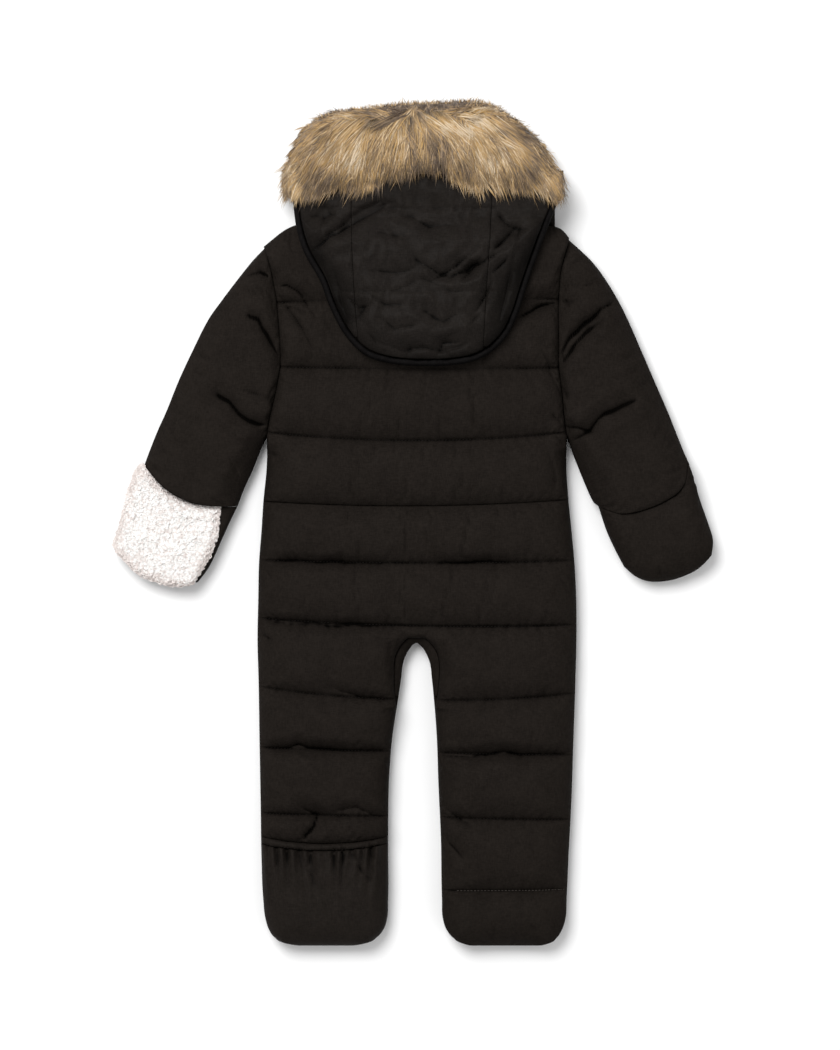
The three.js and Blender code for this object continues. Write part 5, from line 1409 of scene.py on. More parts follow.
def sideways_of(spines, roll):
    """For each strand a direction across it, turned about the strand by its own roll."""
    ahead = spines[:, -1] - spines[:, 0]
    ahead /= np.linalg.norm(ahead, axis=1, keepdims=True)
    up = np.array([0.0, 0.0, 1.0])
    flat = np.cross(ahead, up)
    flat /= np.maximum(np.linalg.norm(flat, axis=1, keepdims=True), 1e-6)
    lifted = np.cross(flat, ahead)
    return flat * np.cos(roll)[:, None] + lifted * np.sin(roll)[:, None]


def curl_spines(grid, settings):
    """Small open loops of pile: three quarters of a circle each, tilted at random, standing on the fleece."""
    draw = np.random.default_rng(77)
    many = settings.curl_count
    rows, columns = grid.shape[:2]
    i, j = draw.integers(1, rows - 1, many), draw.integers(1, columns - 1, many)
    rimmed = draw.uniform(0, 1, many) < 0.22
    side = draw.integers(0, 3, many)
    i = np.where(rimmed & (side == 0), draw.integers(rows - 5, rows - 1, many), i)
    j = np.where(rimmed & (side == 1), draw.integers(1, 5, many), j)
    j = np.where(rimmed & (side == 2), draw.integers(columns - 6, columns - 2, many), j)
    j = np.minimum(j, columns - 3)
    root = grid[i, j] + np.stack([draw.normal(0, 0.5, many), draw.normal(0, 0.5, many), np.zeros(many)], -1)
    turn, tilt = draw.uniform(0, 2 * np.pi, many), draw.uniform(0.0, 0.5, many)
    across = np.stack([np.cos(turn), np.sin(turn), np.zeros(many)], -1)
    upward = np.stack([-np.sin(turn) * np.cos(tilt), np.cos(turn) * np.cos(tilt), np.sin(tilt)], -1)
    size = settings.curl_radius / MM * draw.uniform(0.7, 1.3, many)
    angle = np.linspace(-0.3 * np.pi, 1.25 * np.pi, 8)[None, :, None]
    outward = across[:, None] * np.cos(angle) + upward[:, None] * np.sin(angle)
    loop = outward + upward[:, None] * 0.5
    raised = np.array([0, 0, 0.5])
    return root[:, None] + raised + loop * size[:, None, None], draw.uniform(0, 1, many), outward


# Stitches

def stitch_beads(paths, length, pitch, thickness):
    """Thread that shows as stitches: one pointed bead, six faces round, for each pitch of each path."""
    centres, ways = [], []
    for path in paths:
        run = np.concatenate([[0], np.cumsum(np.linalg.norm(np.diff(path, axis=0), axis=1))])
        places = np.arange(pitch / 2, run[-1], pitch)
        mid = np.stack([np.interp(places, run, path[:, k]) for k in range(3)], -1)
        ahead = np.stack([np.interp(places + 0.5, run, path[:, k]) for k in range(3)], -1)
        behind = np.stack([np.interp(places - 0.5, run, path[:, k]) for k in range(3)], -1)
        way = ahead - behind
        centres.append(mid)
        ways.append(way / np.maximum(np.linalg.norm(way, axis=1, keepdims=True), 1e-6))
    centre, way = np.vstack(centres), np.vstack(ways)
    up = np.array([0.0, 0.0, 1.0])
    across = np.cross(way, up)
    across /= np.maximum(np.linalg.norm(across, axis=1, keepdims=True), 1e-6)
    over = np.cross(across, way)
    angle = np.arange(6) * np.pi / 3
    ring = across[:, None] * np.cos(angle)[None, :, None] + over[:, None] * np.sin(angle)[None, :, None]
    ring = ring * thickness / 2
    reach = way[:, None] * length / 2
    points = np.concatenate([
        centre[:, None] - reach, centre[:, None] + ring - reach * 0.6, centre[:, None] + ring + reach * 0.6,
        centre[:, None] + reach,
    ], 1)
    k = np.arange(6)
    following = (k + 1) % 6
    sides = np.stack([1 + k, 7 + k, 7 + following, 1 + following], -1)
    heads = np.stack([np.zeros(6, int), 1 + k, 1 + following], -1)
    tails = np.stack([np.full(6, 13), 7 + following, 7 + k], -1)
    start = (np.arange(len(centre)) * 14)[:, None, None]
    quads = (start + sides[None]).reshape(-1, 4)
    ends = (start + np.concatenate([heads, tails])[None]).reshape(-1, 3)
    return points.reshape(-1, 3), quads, ends


def surface_height(mesh_points, x, y):
    """Height of a finished surface at places: the highest of its points in each 2 mm square."""
    cell = 2.0
    key = np.round(mesh_points[:, :2] / cell).astype(int)
    low = key.min(0) - 1
    table = np.full(key.max(0) - low + 2, -1.0)
    np.maximum.at(table, (key[:, 0] - low[0], key[:, 1] - low[1]), mesh_points[:, 2])
    i = np.clip(np.round(x / cell).astype(int) - low[0], 0, table.shape[0] - 1)
    j = np.clip(np.round(y / cell).astype(int) - low[1], 0, table.shape[1] - 1)
    return table[i, j]


def piece_points(name):
    """A finished piece's points in millimetres."""
    mesh = bpy.data.objects[name].data
    points = np.empty(len(mesh.vertices) * 3, np.float32)
    mesh.vertices.foreach_get("co", points)
    return points.reshape(-1, 3).astype(float) / MM


def laid_on(plan, names, lift):
    """A path in the plane, brought up to the surface of the named pieces and smoothed along its run."""
    points = np.vstack([piece_points(name) for name in names])
    z = surface_height(points, plan[:, 0], plan[:, 1])
    good = z > 0
    plan, z = plan[good], z[good]
    padded = np.pad(z, 2, mode="edge")
    z = np.minimum.reduce([padded[k:k + len(z)] for k in range(5)])
    return np.column_stack([plan, z + lift])


# Materials

def group(name, inputs, outputs):
    """An empty node group with float inputs and outputs, and its two ends."""
    tree = bpy.data.node_groups.new(name, "ShaderNodeTree")
    for label, kind, value in inputs:
        socket = tree.interface.new_socket(label, in_out="INPUT", socket_type=kind)
        if value is not None:
            socket.default_value = value
    for label, kind in outputs:
        tree.interface.new_socket(label, in_out="OUTPUT", socket_type=kind)
    return tree, tree.nodes.new("NodeGroupInput"), tree.nodes.new("NodeGroupOutput")


def maths(tree, operation, a, b=None):
    """A Math node's output."""
    node = tree.nodes.new("ShaderNodeMath")
    node.operation = operation
    for socket, value in zip(node.inputs, (a, b)):
        if isinstance(value, bpy.types.NodeSocket):
            tree.links.new(value, socket)
        elif value is not None:
            socket.default_value = value
    return node.outputs[0]


def weave_group():
    """Plain weave: threads both ways, each a rounded ridge, over and under in a checker."""
    inputs = [("Vector", "NodeSocketVector", None), ("Threads", "NodeSocketFloat", 900.0)]
    outputs = [("Height", "NodeSocketFloat"), ("Shade", "NodeSocketFloat")]
    tree, start, end = group("Plain weave", inputs, outputs)
    split = tree.nodes.new("ShaderNodeSeparateXYZ")
    tree.links.new(start.outputs["Vector"], split.inputs[0])
    waves, slubs = [], []
    for axis, stretch in (("X", (1, 0.22, 0.5)), ("Y", (0.22, 1, 0.5))):
        turned = maths(tree, "MULTIPLY", split.outputs[axis], start.outputs["Threads"])
        waves.append(maths(tree, "SINE", maths(tree, "MULTIPLY", turned, 6.2832)))
        along = tree.nodes.new("ShaderNodeMapping")
        along.inputs["Scale"].default_value = stretch
        tree.links.new(start.outputs["Vector"], along.inputs["Vector"])
        slub = tree.nodes.new("ShaderNodeTexNoise")
        slub.inputs["Detail"].default_value = 1
        slub.inputs["Scale"].default_value = 900
        tree.links.new(along.outputs[0], slub.inputs["Vector"])
        slubs.append(slub.outputs[0])
    crossed = maths(tree, "MULTIPLY", waves[0], waves[1])
    tree.links.new(maths(tree, "ADD", maths(tree, "MULTIPLY", crossed, 0.5), 0.5), end.inputs["Height"])
    tree.links.new(maths(tree, "MULTIPLY", maths(tree, "ADD", *slubs), 0.5), end.inputs["Shade"])
    return tree


def wrinkle_group():
    """Fine wrinkles in thin nylon: ridged noise at two sizes, warped so that no line runs straight."""
    inputs = [("Vector", "NodeSocketVector", None), ("Scale", "NodeSocketFloat", 60.0)]
    outputs = [("Height", "NodeSocketFloat"), ("Mask", "NodeSocketFloat")]
    tree, start, end = group("Fine wrinkles", inputs, outputs)
    parts = []
    for ratio, seed in ((1.0, 0.0), (2.7, 4.0)):
        noise = tree.nodes.new("ShaderNodeTexNoise")
        noise.noise_dimensions = "4D"
        noise.inputs["W"].default_value = seed
        noise.inputs["Detail"].default_value = 3
        noise.inputs["Roughness"].default_value = 0.55
        noise.inputs["Distortion"].default_value = 0.8
        tree.links.new(start.outputs["Vector"], noise.inputs["Vector"])
        tree.links.new(maths(tree, "MULTIPLY", start.outputs["Scale"], ratio), noise.inputs["Scale"])
        ridge = maths(tree, "ABSOLUTE", maths(tree, "SUBTRACT", noise.outputs[0], 0.5))
        parts.append((ridge, noise.outputs[0]))
    both = maths(tree, "ADD", parts[0][0], maths(tree, "MULTIPLY", parts[1][0], 0.4))
    tree.links.new(both, end.inputs["Height"])
    tree.links.new(parts[0][1], end.inputs["Mask"])
    return tree


def use_group(tree, source, **values):
    """Places a shader node group with its own values."""
    node = tree.nodes.new("ShaderNodeGroup")
    node.node_tree = source
    for label, value in values.items():
        node.inputs[label.replace("_", " ")].default_value = value
    return node


def new_material(name):
    """A Principled material and its Object coordinates."""
    material = bpy.data.materials.new(name)
    material.use_nodes = True
    tree = material.node_tree
    shader = next(node for node in tree.nodes if node.type == "BSDF_PRINCIPLED")
    place = tree.nodes.new("ShaderNodeTexCoord")
    return material, tree, shader, place.outputs["Object"]


def bump(tree, height, strength, distance, below=None):
    """A Bump node's normal."""
    node = tree.nodes.new("ShaderNodeBump")
    node.inputs["Strength"].default_value = strength
    node.inputs["Distance"].default_value = distance
    tree.links.new(height, node.inputs["Height"])
    if below is not None:
        tree.links.new(below, node.inputs["Normal"])
    return node.outputs["Normal"]


def ramp(tree, factor, stops):
    """A Color Ramp's output."""
    node = tree.nodes.new("ShaderNodeValToRGB")
    elements = node.color_ramp.elements
    while len(elements) < len(stops):
        elements.new(0.5)
    for element, (position, colour) in zip(elements, stops):
        element.position = position
        element.color = (*colour, 1)
    tree.links.new(factor, node.inputs[0])
    return node.outputs["Color"]


def shaded(colour, factor):
    return tuple(min(channel * factor, 1) for channel in colour)


def cloth_material(name, colour, roughness, wrinkles, weave, gloss_index, looks):
    """Woven nylon: a fine weave, small wrinkles, slightly uneven colour and gloss; painted shade at folds and
    rims.
    """
    material, tree, shader, place = new_material(name)
    woven = use_group(tree, bpy.data.node_groups["Plain weave"], Threads=looks.threads)
    tree.links.new(place, woven.inputs["Vector"])
    fine = use_group(tree, bpy.data.node_groups["Fine wrinkles"], Scale=wrinkles)
    tree.links.new(place, fine.inputs["Vector"])
    mottled = maths(tree, "ADD", maths(tree, "MULTIPLY", fine.outputs["Mask"], 0.3),
                    maths(tree, "MULTIPLY", woven.outputs["Shade"], 0.7))
    tone = ramp(tree, mottled, [(0.36, shaded(colour, 0.74)), (0.64, shaded(colour, 1.26))])
    # Painted shade: the cloth darkens where it lies below its surroundings, deep in folds and creases
    fold = tree.nodes.new("ShaderNodeAttribute")
    fold.attribute_name = "fold"
    depth = tree.nodes.new("ShaderNodeMapRange")
    depth.interpolation_type = "SMOOTHSTEP"
    depth.inputs["From Min"].default_value = 0.05
    depth.inputs["From Max"].default_value = looks.fold_reach / MM
    depth.inputs["To Min"].default_value = 1
    depth.inputs["To Max"].default_value = 1 - looks.fold_shade
    tree.links.new(fold.outputs["Fac"], depth.inputs["Value"])
    # Painted shade near a rim, where the cloth turns down and away from the light
    dusk = tree.nodes.new("ShaderNodeAttribute")
    dusk.attribute_name = "dusk"
    lit = maths(tree, "SUBTRACT", 1.0, maths(tree, "MULTIPLY", dusk.outputs["Fac"], looks.rim_shade))
    lit = maths(tree, "MULTIPLY", lit, depth.outputs[0])
    product = tree.nodes.new("ShaderNodeMix")
    product.data_type = "RGBA"
    product.blend_type = "MULTIPLY"
    product.inputs[0].default_value = 1
    tree.links.new(tone, product.inputs[6])
    tree.links.new(lit, product.inputs[7])
    tree.links.new(product.outputs[2], shader.inputs["Base Color"])
    gloss = tree.nodes.new("ShaderNodeMapRange")
    gloss.inputs["To Min"].default_value = roughness - 0.05
    gloss.inputs["To Max"].default_value = roughness + 0.07
    tree.links.new(fine.outputs["Mask"], gloss.inputs["Value"])
    tree.links.new(gloss.outputs[0], shader.inputs["Roughness"])
    normal = bump(tree, fine.outputs["Height"], looks.wrinkle_strength, 0.002)
    normal = bump(tree, woven.outputs["Height"], weave, 0.0002, normal)
    tree.links.new(normal, shader.inputs["Normal"])
    shader.inputs["IOR"].default_value = gloss_index
    return material


def fur_material(name, looks):
    """Fur: each strand's tone picks grey-brown, tan or gold, and its root and tip are darker."""
    material, tree, shader, place = new_material(name)
    strand = tree.nodes.new("ShaderNodeUVMap")
    strand.uv_map = "strand"
    split = tree.nodes.new("ShaderNodeSeparateXYZ")
    tree.links.new(strand.outputs[0], split.inputs[0])
    patches = tree.nodes.new("ShaderNodeTexNoise")
    patches.inputs["Scale"].default_value = 21
    patches.inputs["Detail"].default_value = 2
    tree.links.new(place, patches.inputs["Vector"])
    spread = maths(tree, "MULTIPLY", maths(tree, "SUBTRACT", patches.outputs[0], 0.5), 1.5)
    tone = maths(tree, "ADD", maths(tree, "MULTIPLY", split.outputs["X"], 0.95), 0.08)
    tone = maths(tree, "ADD", tone, spread)
    colour = ramp(tree, tone, [
        (0.02, looks.fur_dark), (0.25, looks.fur_grey), (0.46, looks.fur_tan), (0.68, looks.fur_gold),
        (0.95, looks.fur_light),
    ])
    ends = ramp(tree, split.outputs["Y"], [
        (0.0, (0.24,) * 3), (0.2, (0.72,) * 3), (0.45, (1.0,) * 3), (0.8, (0.95,) * 3), (1.0, (0.4,) * 3),
    ])
    product = tree.nodes.new("ShaderNodeMix")
    product.data_type = "RGBA"
    product.blend_type = "MULTIPLY"
    product.inputs[0].default_value = 1
    tree.links.new(colour, product.inputs[6])
    tree.links.new(ends, product.inputs[7])
    tree.links.new(product.outputs[2], shader.inputs["Base Color"])
    shader.inputs["Roughness"].default_value = 0.55
    shader.inputs["Specular IOR Level"].default_value = 0.35
    shader.inputs["Sheen Weight"].default_value = 0.15
    return material


def undercoat_material(looks):
    """The backing under the strands: dark, matt and finely streaked."""
    material, tree, shader, place = new_material("Fur undercoat")
    streaks = tree.nodes.new("ShaderNodeTexNoise")
    streaks.inputs["Scale"].default_value = 420
    streaks.inputs["Detail"].default_value = 4
    stretch = tree.nodes.new("ShaderNodeMapping")
    stretch.inputs["Scale"].default_value = (1, 0.15, 0.3)
    tree.links.new(place, stretch.inputs["Vector"])
    tree.links.new(stretch.outputs[0], streaks.inputs["Vector"])
    tone = ramp(tree, streaks.outputs[0], [(0.35, shaded(looks.fur_dark, 0.6)), (0.7, looks.fur_grey)])
    tree.links.new(tone, shader.inputs["Base Color"])
    tree.links.new(bump(tree, streaks.outputs[0], 0.8, 0.002), shader.inputs["Normal"])
    shader.inputs["Roughness"].default_value = 0.9
    return material


def fleece_material(looks):
    """Curly pile: off-white, with painted shade, a little darker and warmer, in its pits and towards its
    edges.
    """
    material, tree, shader, place = new_material("Curly fleece")
    # Painted shade in the pits between the curls
    pits = tree.nodes.new("ShaderNodeTexVoronoi")
    pits.inputs["Scale"].default_value = 340
    tree.links.new(place, pits.inputs["Vector"])
    broad = tree.nodes.new("ShaderNodeTexNoise")
    broad.inputs["Scale"].default_value = 60
    tree.links.new(place, broad.inputs["Vector"])
    both = maths(tree, "ADD", pits.outputs["Distance"], maths(tree, "MULTIPLY", broad.outputs[0], 0.3))
    # Painted shade towards the fleece's edges, where it rolls away from the light
    dusk = tree.nodes.new("ShaderNodeAttribute")
    dusk.attribute_name = "dusk"
    both = maths(tree, "ADD", both, maths(tree, "MULTIPLY", dusk.outputs["Fac"], 0.45))
    tone = ramp(tree, both, [(0.55, looks.fleece), (1.0, looks.fleece_shade)])
    tree.links.new(tone, shader.inputs["Base Color"])
    raised = maths(tree, "SUBTRACT", 1.0, pits.outputs["Distance"])
    tree.links.new(bump(tree, raised, 0.5, 0.0012), shader.inputs["Normal"])
    shader.inputs["Roughness"].default_value = 0.95
    shader.inputs["Sheen Weight"].default_value = 0.3
    return material


def thread_material(name, colour):
    """Spun thread: a fine twist of light and dark along it."""
    material, tree, shader, place = new_material(name)
    twist = tree.nodes.new("ShaderNodeTexWave")
    twist.bands_direction = "DIAGONAL"
    twist.inputs["Scale"].default_value = 900
    tree.links.new(place, twist.inputs["Vector"])
    tone = ramp(tree, twist.outputs["Fac"], [(0.2, shaded(colour, 0.7)), (0.8, shaded(colour, 1.2))])
    tree.links.new(tone, shader.inputs["Base Color"])
    shader.inputs["Roughness"].default_value = 0.6
    shader.inputs["Specular IOR Level"].default_value = 0.1
    return material


def floor_material(looks):
    """A pale, matt floor with a barely uneven tone."""
    material, tree, shader, place = new_material("Pale floor")
    noise = tree.nodes.new("ShaderNodeTexNoise")
    noise.inputs["Scale"].default_value = 3
    tree.links.new(place, noise.inputs["Vector"])
    tone = ramp(tree, noise.outputs[0], [(0.3, shaded(looks.floor, 0.997)), (0.7, looks.floor)])
    tree.links.new(tone, shader.inputs["Base Color"])
    shader.inputs["Roughness"].default_value = 1
    shader.inputs["Specular IOR Level"].default_value = 0
    return material


def length(label, description, default):
    return FloatProperty(name=label, description=description, default=default, unit="LENGTH", precision=5)


def tint(label, description, default):
    return FloatVectorProperty(name=label, description=description, default=default, subtype="COLOR", size=3,
                               min=0, max=1)


class SnowsuitSizes(bpy.types.PropertyGroup):
    """Sizes of the suit's cloth, fur and stitches."""

    cloth_cell: length("Cloth cell", "Side of one cell of the padded cloth before it is refined", 0.0032)
    cloth_scale: FloatProperty(name="Cloth scale",
                               description="How much larger the cloth is while it settles",
                               default=10)
    cloth_pressure: FloatProperty(name="Pressure", description="Air pressure in the padding", default=4)
    cloth_slack: FloatProperty(name="Slack", description="How much longer the cloth is than its stitches",
                               default=0.025)
    cloth_bending: FloatProperty(name="Bending", description="Stiffness of the cloth against bending",
                                 default=0.3)
    cloth_frames: IntProperty(name="Frames", description="Frames in which the cloth settles", default=20)
    cloth_cap: length("Cloth cap", "The furthest that a point of the cloth may move", 0.005)
    pucker_depth: length("Pucker depth", "Depth of the folds that run off a stitch line", 0.0008)
    pucker_reach: length("Pucker reach", "How far the folds run off a stitch line", 0.0085)
    furrow_depth: length("Furrow depth", "How far the thread draws the cloth in along a stitch line", 0.0017)
    crumple_depth: length("Crumple depth", "Depth of the shallow wrinkles between the stitch lines", 0.0004)
    stitch_length: length("Stitch length", "Length of one stitch of thread", 0.0026)
    stitch_pitch: length("Stitch pitch", "Distance from one stitch to the next", 0.0036)
    stitch_thickness: length("Thread thickness", "Thickness of the thread", 0.0006)
    fur_length: length("Fur length", "Length of a long strand of fur", 0.063)
    fur_width: length("Strand width", "Width of a strand at its root", 0.00095)
    fur_locks: IntProperty(name="Locks", description="Number of locks of fur", default=1000)
    fur_strands: IntProperty(name="Strands", description="Strands in one lock", default=40)
    fur_under_strands: IntProperty(name="Lower strands", description="Strands of the lower roll",
                                   default=4200)
    curl_count: IntProperty(name="Curls", description="Loops of pile on the fleece", default=6000)
    curl_radius: length("Curl radius", "Radius of one loop of pile", 0.0013)

    def cells(self, millimetres):
        """How many cells of cloth fit along a stretch."""
        return max(int(round(millimetres * MM / self.cloth_cell)), 4)


class SnowsuitLooks(bpy.types.PropertyGroup):
    """Colours and finishes."""

    shell: tint("Shell", "Colour of the quilted nylon", (0.0126, 0.0102, 0.0086))
    hood: tint("Hood", "Colour of the hood's nylon", (0.0124, 0.0104, 0.0091))
    binding: tint("Binding", "Colour of the hood's binding tape", (0.0062, 0.0056, 0.0056))
    thread: tint("Thread", "Colour of the quilting thread", (0.008, 0.006, 0.005))
    pale_thread: tint("Pale thread", "Colour of the ankle's thread", (0.07, 0.06, 0.052))
    fleece: tint("Fleece", "Colour of the fleece's curls", (0.92, 0.912, 0.895))
    # Painted shade: the colour that the fleece turns to in its pits and towards its edges
    fleece_shade: tint("Fleece shade", "Colour between the fleece's curls", (0.72, 0.655, 0.625))
    fur_dark: tint("Fur, dark", "Darkest strands", (0.075, 0.045, 0.027))
    fur_grey: tint("Fur, grey-brown", "Grey-brown strands", (0.165, 0.118, 0.08))
    fur_tan: tint("Fur, tan", "Tan strands", (0.335, 0.23, 0.13))
    fur_gold: tint("Fur, gold", "Golden strands", (0.47, 0.29, 0.105))
    fur_light: tint("Fur, light", "Lightest strands", (0.66, 0.53, 0.37))
    floor: tint("Floor", "Colour of the floor", (0.95, 0.95, 0.95))
    threads: FloatProperty(name="Threads", description="Pairs of threads in a metre of nylon", default=1100)
    shell_index: FloatProperty(name="Shell gloss", description="Refractive index of the shell's finish",
                               default=1.045)
    hood_index: FloatProperty(name="Hood gloss", description="Refractive index of the hood's finish",
                              default=1.085)
    fold_shade: FloatProperty(name="Fold shade", description="How much darker the cloth is deep in a fold",
                              default=0.84)
    fold_reach: length("Fold reach", "Depth below its surroundings at which a fold is darkest", 0.0025)
    rim_shade: FloatProperty(name="Rim shade",
                             description="How much darker the cloth is where it turns to a rim",
                             default=0.86)
    wrinkle_strength: FloatProperty(name="Fine wrinkles", description="Strength of the finest wrinkles",
                                    default=0.25)


class SnowsuitStage(bpy.types.PropertyGroup):
    """Camera, floor and lights."""

    camera_height: length("Camera height", "Height of the camera over the floor", 4.03)
    view_height: length("View height", "Length on the suit that the picture's height takes in", 1.1025)
    centre_x: length("View centre X", "Place across the suit in the picture's centre", 0.0058)
    centre_y: length("View centre Y", "Place along the suit in the picture's centre", -0.0042)
    floor_size: length("Floor size", "Side of the floor", 30.0)
    key_power: FloatProperty(name="Key light", description="Power of the upper left soft box", default=90,
                             unit="POWER")
    fill_power: FloatProperty(name="Fill light", description="Power of the lower right soft box", default=8,
                              unit="POWER")
    sky: FloatProperty(name="Surrounding light", description="Strength of the even surrounding light",
                       default=0.58)


def cloth_for(context, kind):
    """The material of one kind of cloth, made once."""
    looks = context.scene.snowsuit_looks
    names = {"shell": "Shell nylon", "hood": "Hood nylon",
             "cover": "Foot cover nylon", "binding": "Binding tape"}
    name = names[kind]
    if name not in bpy.data.materials:
        if "Plain weave" not in bpy.data.node_groups:
            weave_group()
            wrinkle_group()
        values = {
            "shell": (looks.shell, 0.6, 48, 0.25, looks.shell_index),
            "hood": (looks.hood, 0.45, 40, 0.2, looks.hood_index),
            "cover": (looks.shell, 0.55, 52, 0.22, looks.hood_index),
            "binding": (looks.binding, 0.6, 90, 0.4, looks.shell_index),
        }[kind]
        cloth_material(name, *values, looks)
    return bpy.data.materials[name]


class SNOWSUIT_OT_back_yoke(bpy.types.Operator):
    """Quilted upper back, from the neck to the waist seam"""

    bl_idname = "snowsuit.back_yoke"
    bl_label = "Back Yoke"

    def execute(self, context):
        sheet = yoke_sheet(context.scene.snowsuit_sizes)
        mesh = closed_flat("back_yoke_cloth", [sheet], BACK_BOTTOM)
        placed(mesh, "back_yoke", cloth_for(context, "shell"))
        return {"FINISHED"}


class SNOWSUIT_OT_seat_and_legs(bpy.types.Operator):
    """Quilted seat and legs, and the gusset between the legs"""

    bl_idname = "snowsuit.seat_and_legs"
    bl_label = "Seat and Legs"

    def execute(self, context):
        sheets = seat_sheets(context.scene.snowsuit_sizes)
        shell = cloth_for(context, "shell")
        mesh = closed_flat("seat_and_legs_cloth", sheets, BACK_BOTTOM)
        placed(mesh, "seat_and_legs", shell)
        mesh = closed_flat("inseam_gusset_cloth", [gusset_sheet()], BACK_BOTTOM)
        placed(mesh, "inseam_gusset", shell)
        return {"FINISHED"}


class SNOWSUIT_OT_fronts(bpy.types.Operator):
    """Both fronts and the wind flap, which lie on the surface"""

    bl_idname = "snowsuit.fronts"
    bl_label = "Fronts"

    def execute(self, context):
        shell = cloth_for(context, "shell")
        sizes = context.scene.snowsuit_sizes
        for side in ("left", "right"):
            mesh = closed_flat(f"front_{side}_cloth", [front_sheet(side)], FRONT_TOP)
            placed(mesh, f"front_{side}", shell)
        mesh = closed_flat("front_flap_cloth", [flap_sheet()], FRONT_TOP)
        placed(mesh, "front_flap", shell)
        return {"FINISHED"}


class SNOWSUIT_OT_sleeves(bpy.types.Operator):
    """Both sleeves, each a flattened tube"""

    bl_idname = "snowsuit.sleeves"
    bl_label = "Sleeves"

    def execute(self, context):
        for side, shape in (("left", SLEEVE_LEFT), ("right", SLEEVE_RIGHT)):
            upper, lower = sleeve_sheets(side, shape, context.scene.snowsuit_sizes)
            mesh = closed_pair(f"sleeve_{side}_cloth", [upper], [lower])
            placed(mesh, f"sleeve_{side}", cloth_for(context, "shell"))
        return {"FINISHED"}


class SNOWSUIT_OT_mittens(bpy.types.Operator):
    """The closed right mitten, and the left one turned out with its fleece showing"""

    bl_idname = "snowsuit.mittens"
    bl_label = "Mittens"

    def execute(self, context):
        sizes, looks = context.scene.snowsuit_sizes, context.scene.snowsuit_looks
        shell = cloth_for(context, "shell")
        upper, lower = mitten_right_sheets(sizes)
        placed(closed_pair("mitt_right_cloth", [upper], [lower]), "mitt_right", shell)
        lower, strip = mitten_left_sheets()
        under = closed_flat("mitt_left_shell_cloth", [lower], FRONT_TOP)
        placed(under, "mitt_left_shell", shell)
        mesh = closed_flat("mitt_left_edge_cloth", [strip], BACK_BOTTOM)
        edge = added(mesh, "mitt_left_edge_cloth", shell)
        pile = fleece_material(looks)
        sheet = fleece_sheet()
        border = np.vstack([sheet[0, :, :2], sheet[:, -1, :2], sheet[-1, ::-1, :2], sheet[::-1, 0, :2]])[::3]
        mesh = closed_flat("mitt_left_fleece_cloth", [sheet], BACK_BOTTOM)
        # Painted shade towards the fleece's edges, for the sheet and its curls
        mark_dusk(mesh, border, lambda y: 7.0, 205)
        placed(mesh, "mitt_left_fleece", pile)
        spines, tones, outward = curl_spines(sheet, sizes)
        widths = np.array([0.5, 0.9, 1.1, 1.1, 1.1, 0.9, 0.6, 0.1])
        curls = ribbon_mesh("mitt_left_curls", spines, widths, outward, tones)
        mark_dusk(curls, border, lambda y: 7.0, 205)
        added(curls, "mitt_left_curls", pile)
        return {"FINISHED"}


class SNOWSUIT_OT_feet(bpy.types.Operator):
    """The left foot cover with its gathered casing, and the right one on the underside"""

    bl_idname = "snowsuit.feet"
    bl_label = "Foot Covers"

    def execute(self, context):
        sizes = context.scene.snowsuit_sizes
        cover = cloth_for(context, "cover")
        mesh = closed_flat("foot_cover_left_cloth", [cover_sheet()], BACK_BOTTOM)
        placed(mesh, "foot_cover_left", cover)
        mesh = closed_flat("foot_casing_left_cloth", [casing_sheet()], BACK_BOTTOM)
        placed(mesh, "foot_casing_left", cover)
        mesh = closed_flat("foot_cover_right_cloth", [right_cover_sheet()], FRONT_TOP)
        placed(mesh, "foot_cover_right", cover)
        return {"FINISHED"}


class SNOWSUIT_OT_hood(bpy.types.Operator):
    """The hood's three panels, its bound rim, and the layers that it lies on"""

    bl_idname = "snowsuit.hood"
    bl_label = "Hood"

    def execute(self, context):
        sizes = context.scene.snowsuit_sizes
        nylon = cloth_for(context, "hood")
        for name in ("centre", "side_left", "side_right"):
            top = hood_panel(name.replace("side_", ""))
            bottom = top - np.array([0, 0, HOOD_CLOTH])
            mesh = closed_pair(f"hood_{name}_cloth", [top], [bottom])
            # Painted shade towards the hood's rim
            mark_dusk(mesh, smooth_path(HOOD_POINTS, 60), hood_dusk_reach, 203)
            piece = placed(mesh, f"hood_{name}", nylon)
        placed(carried("hood_binding_cloth", binding_rings()), "hood_binding",
               cloth_for(context, "binding"))
        for name, sheet, floor in (("nape", nape_sheet(), NAPE_BOTTOM), ("chin", chin_sheet(), FRONT_TOP)):
            mesh = closed_flat(f"hood_{name}_cloth", [sheet], floor)
            placed(mesh, f"hood_{name}", nylon)
        return {"FINISHED"}


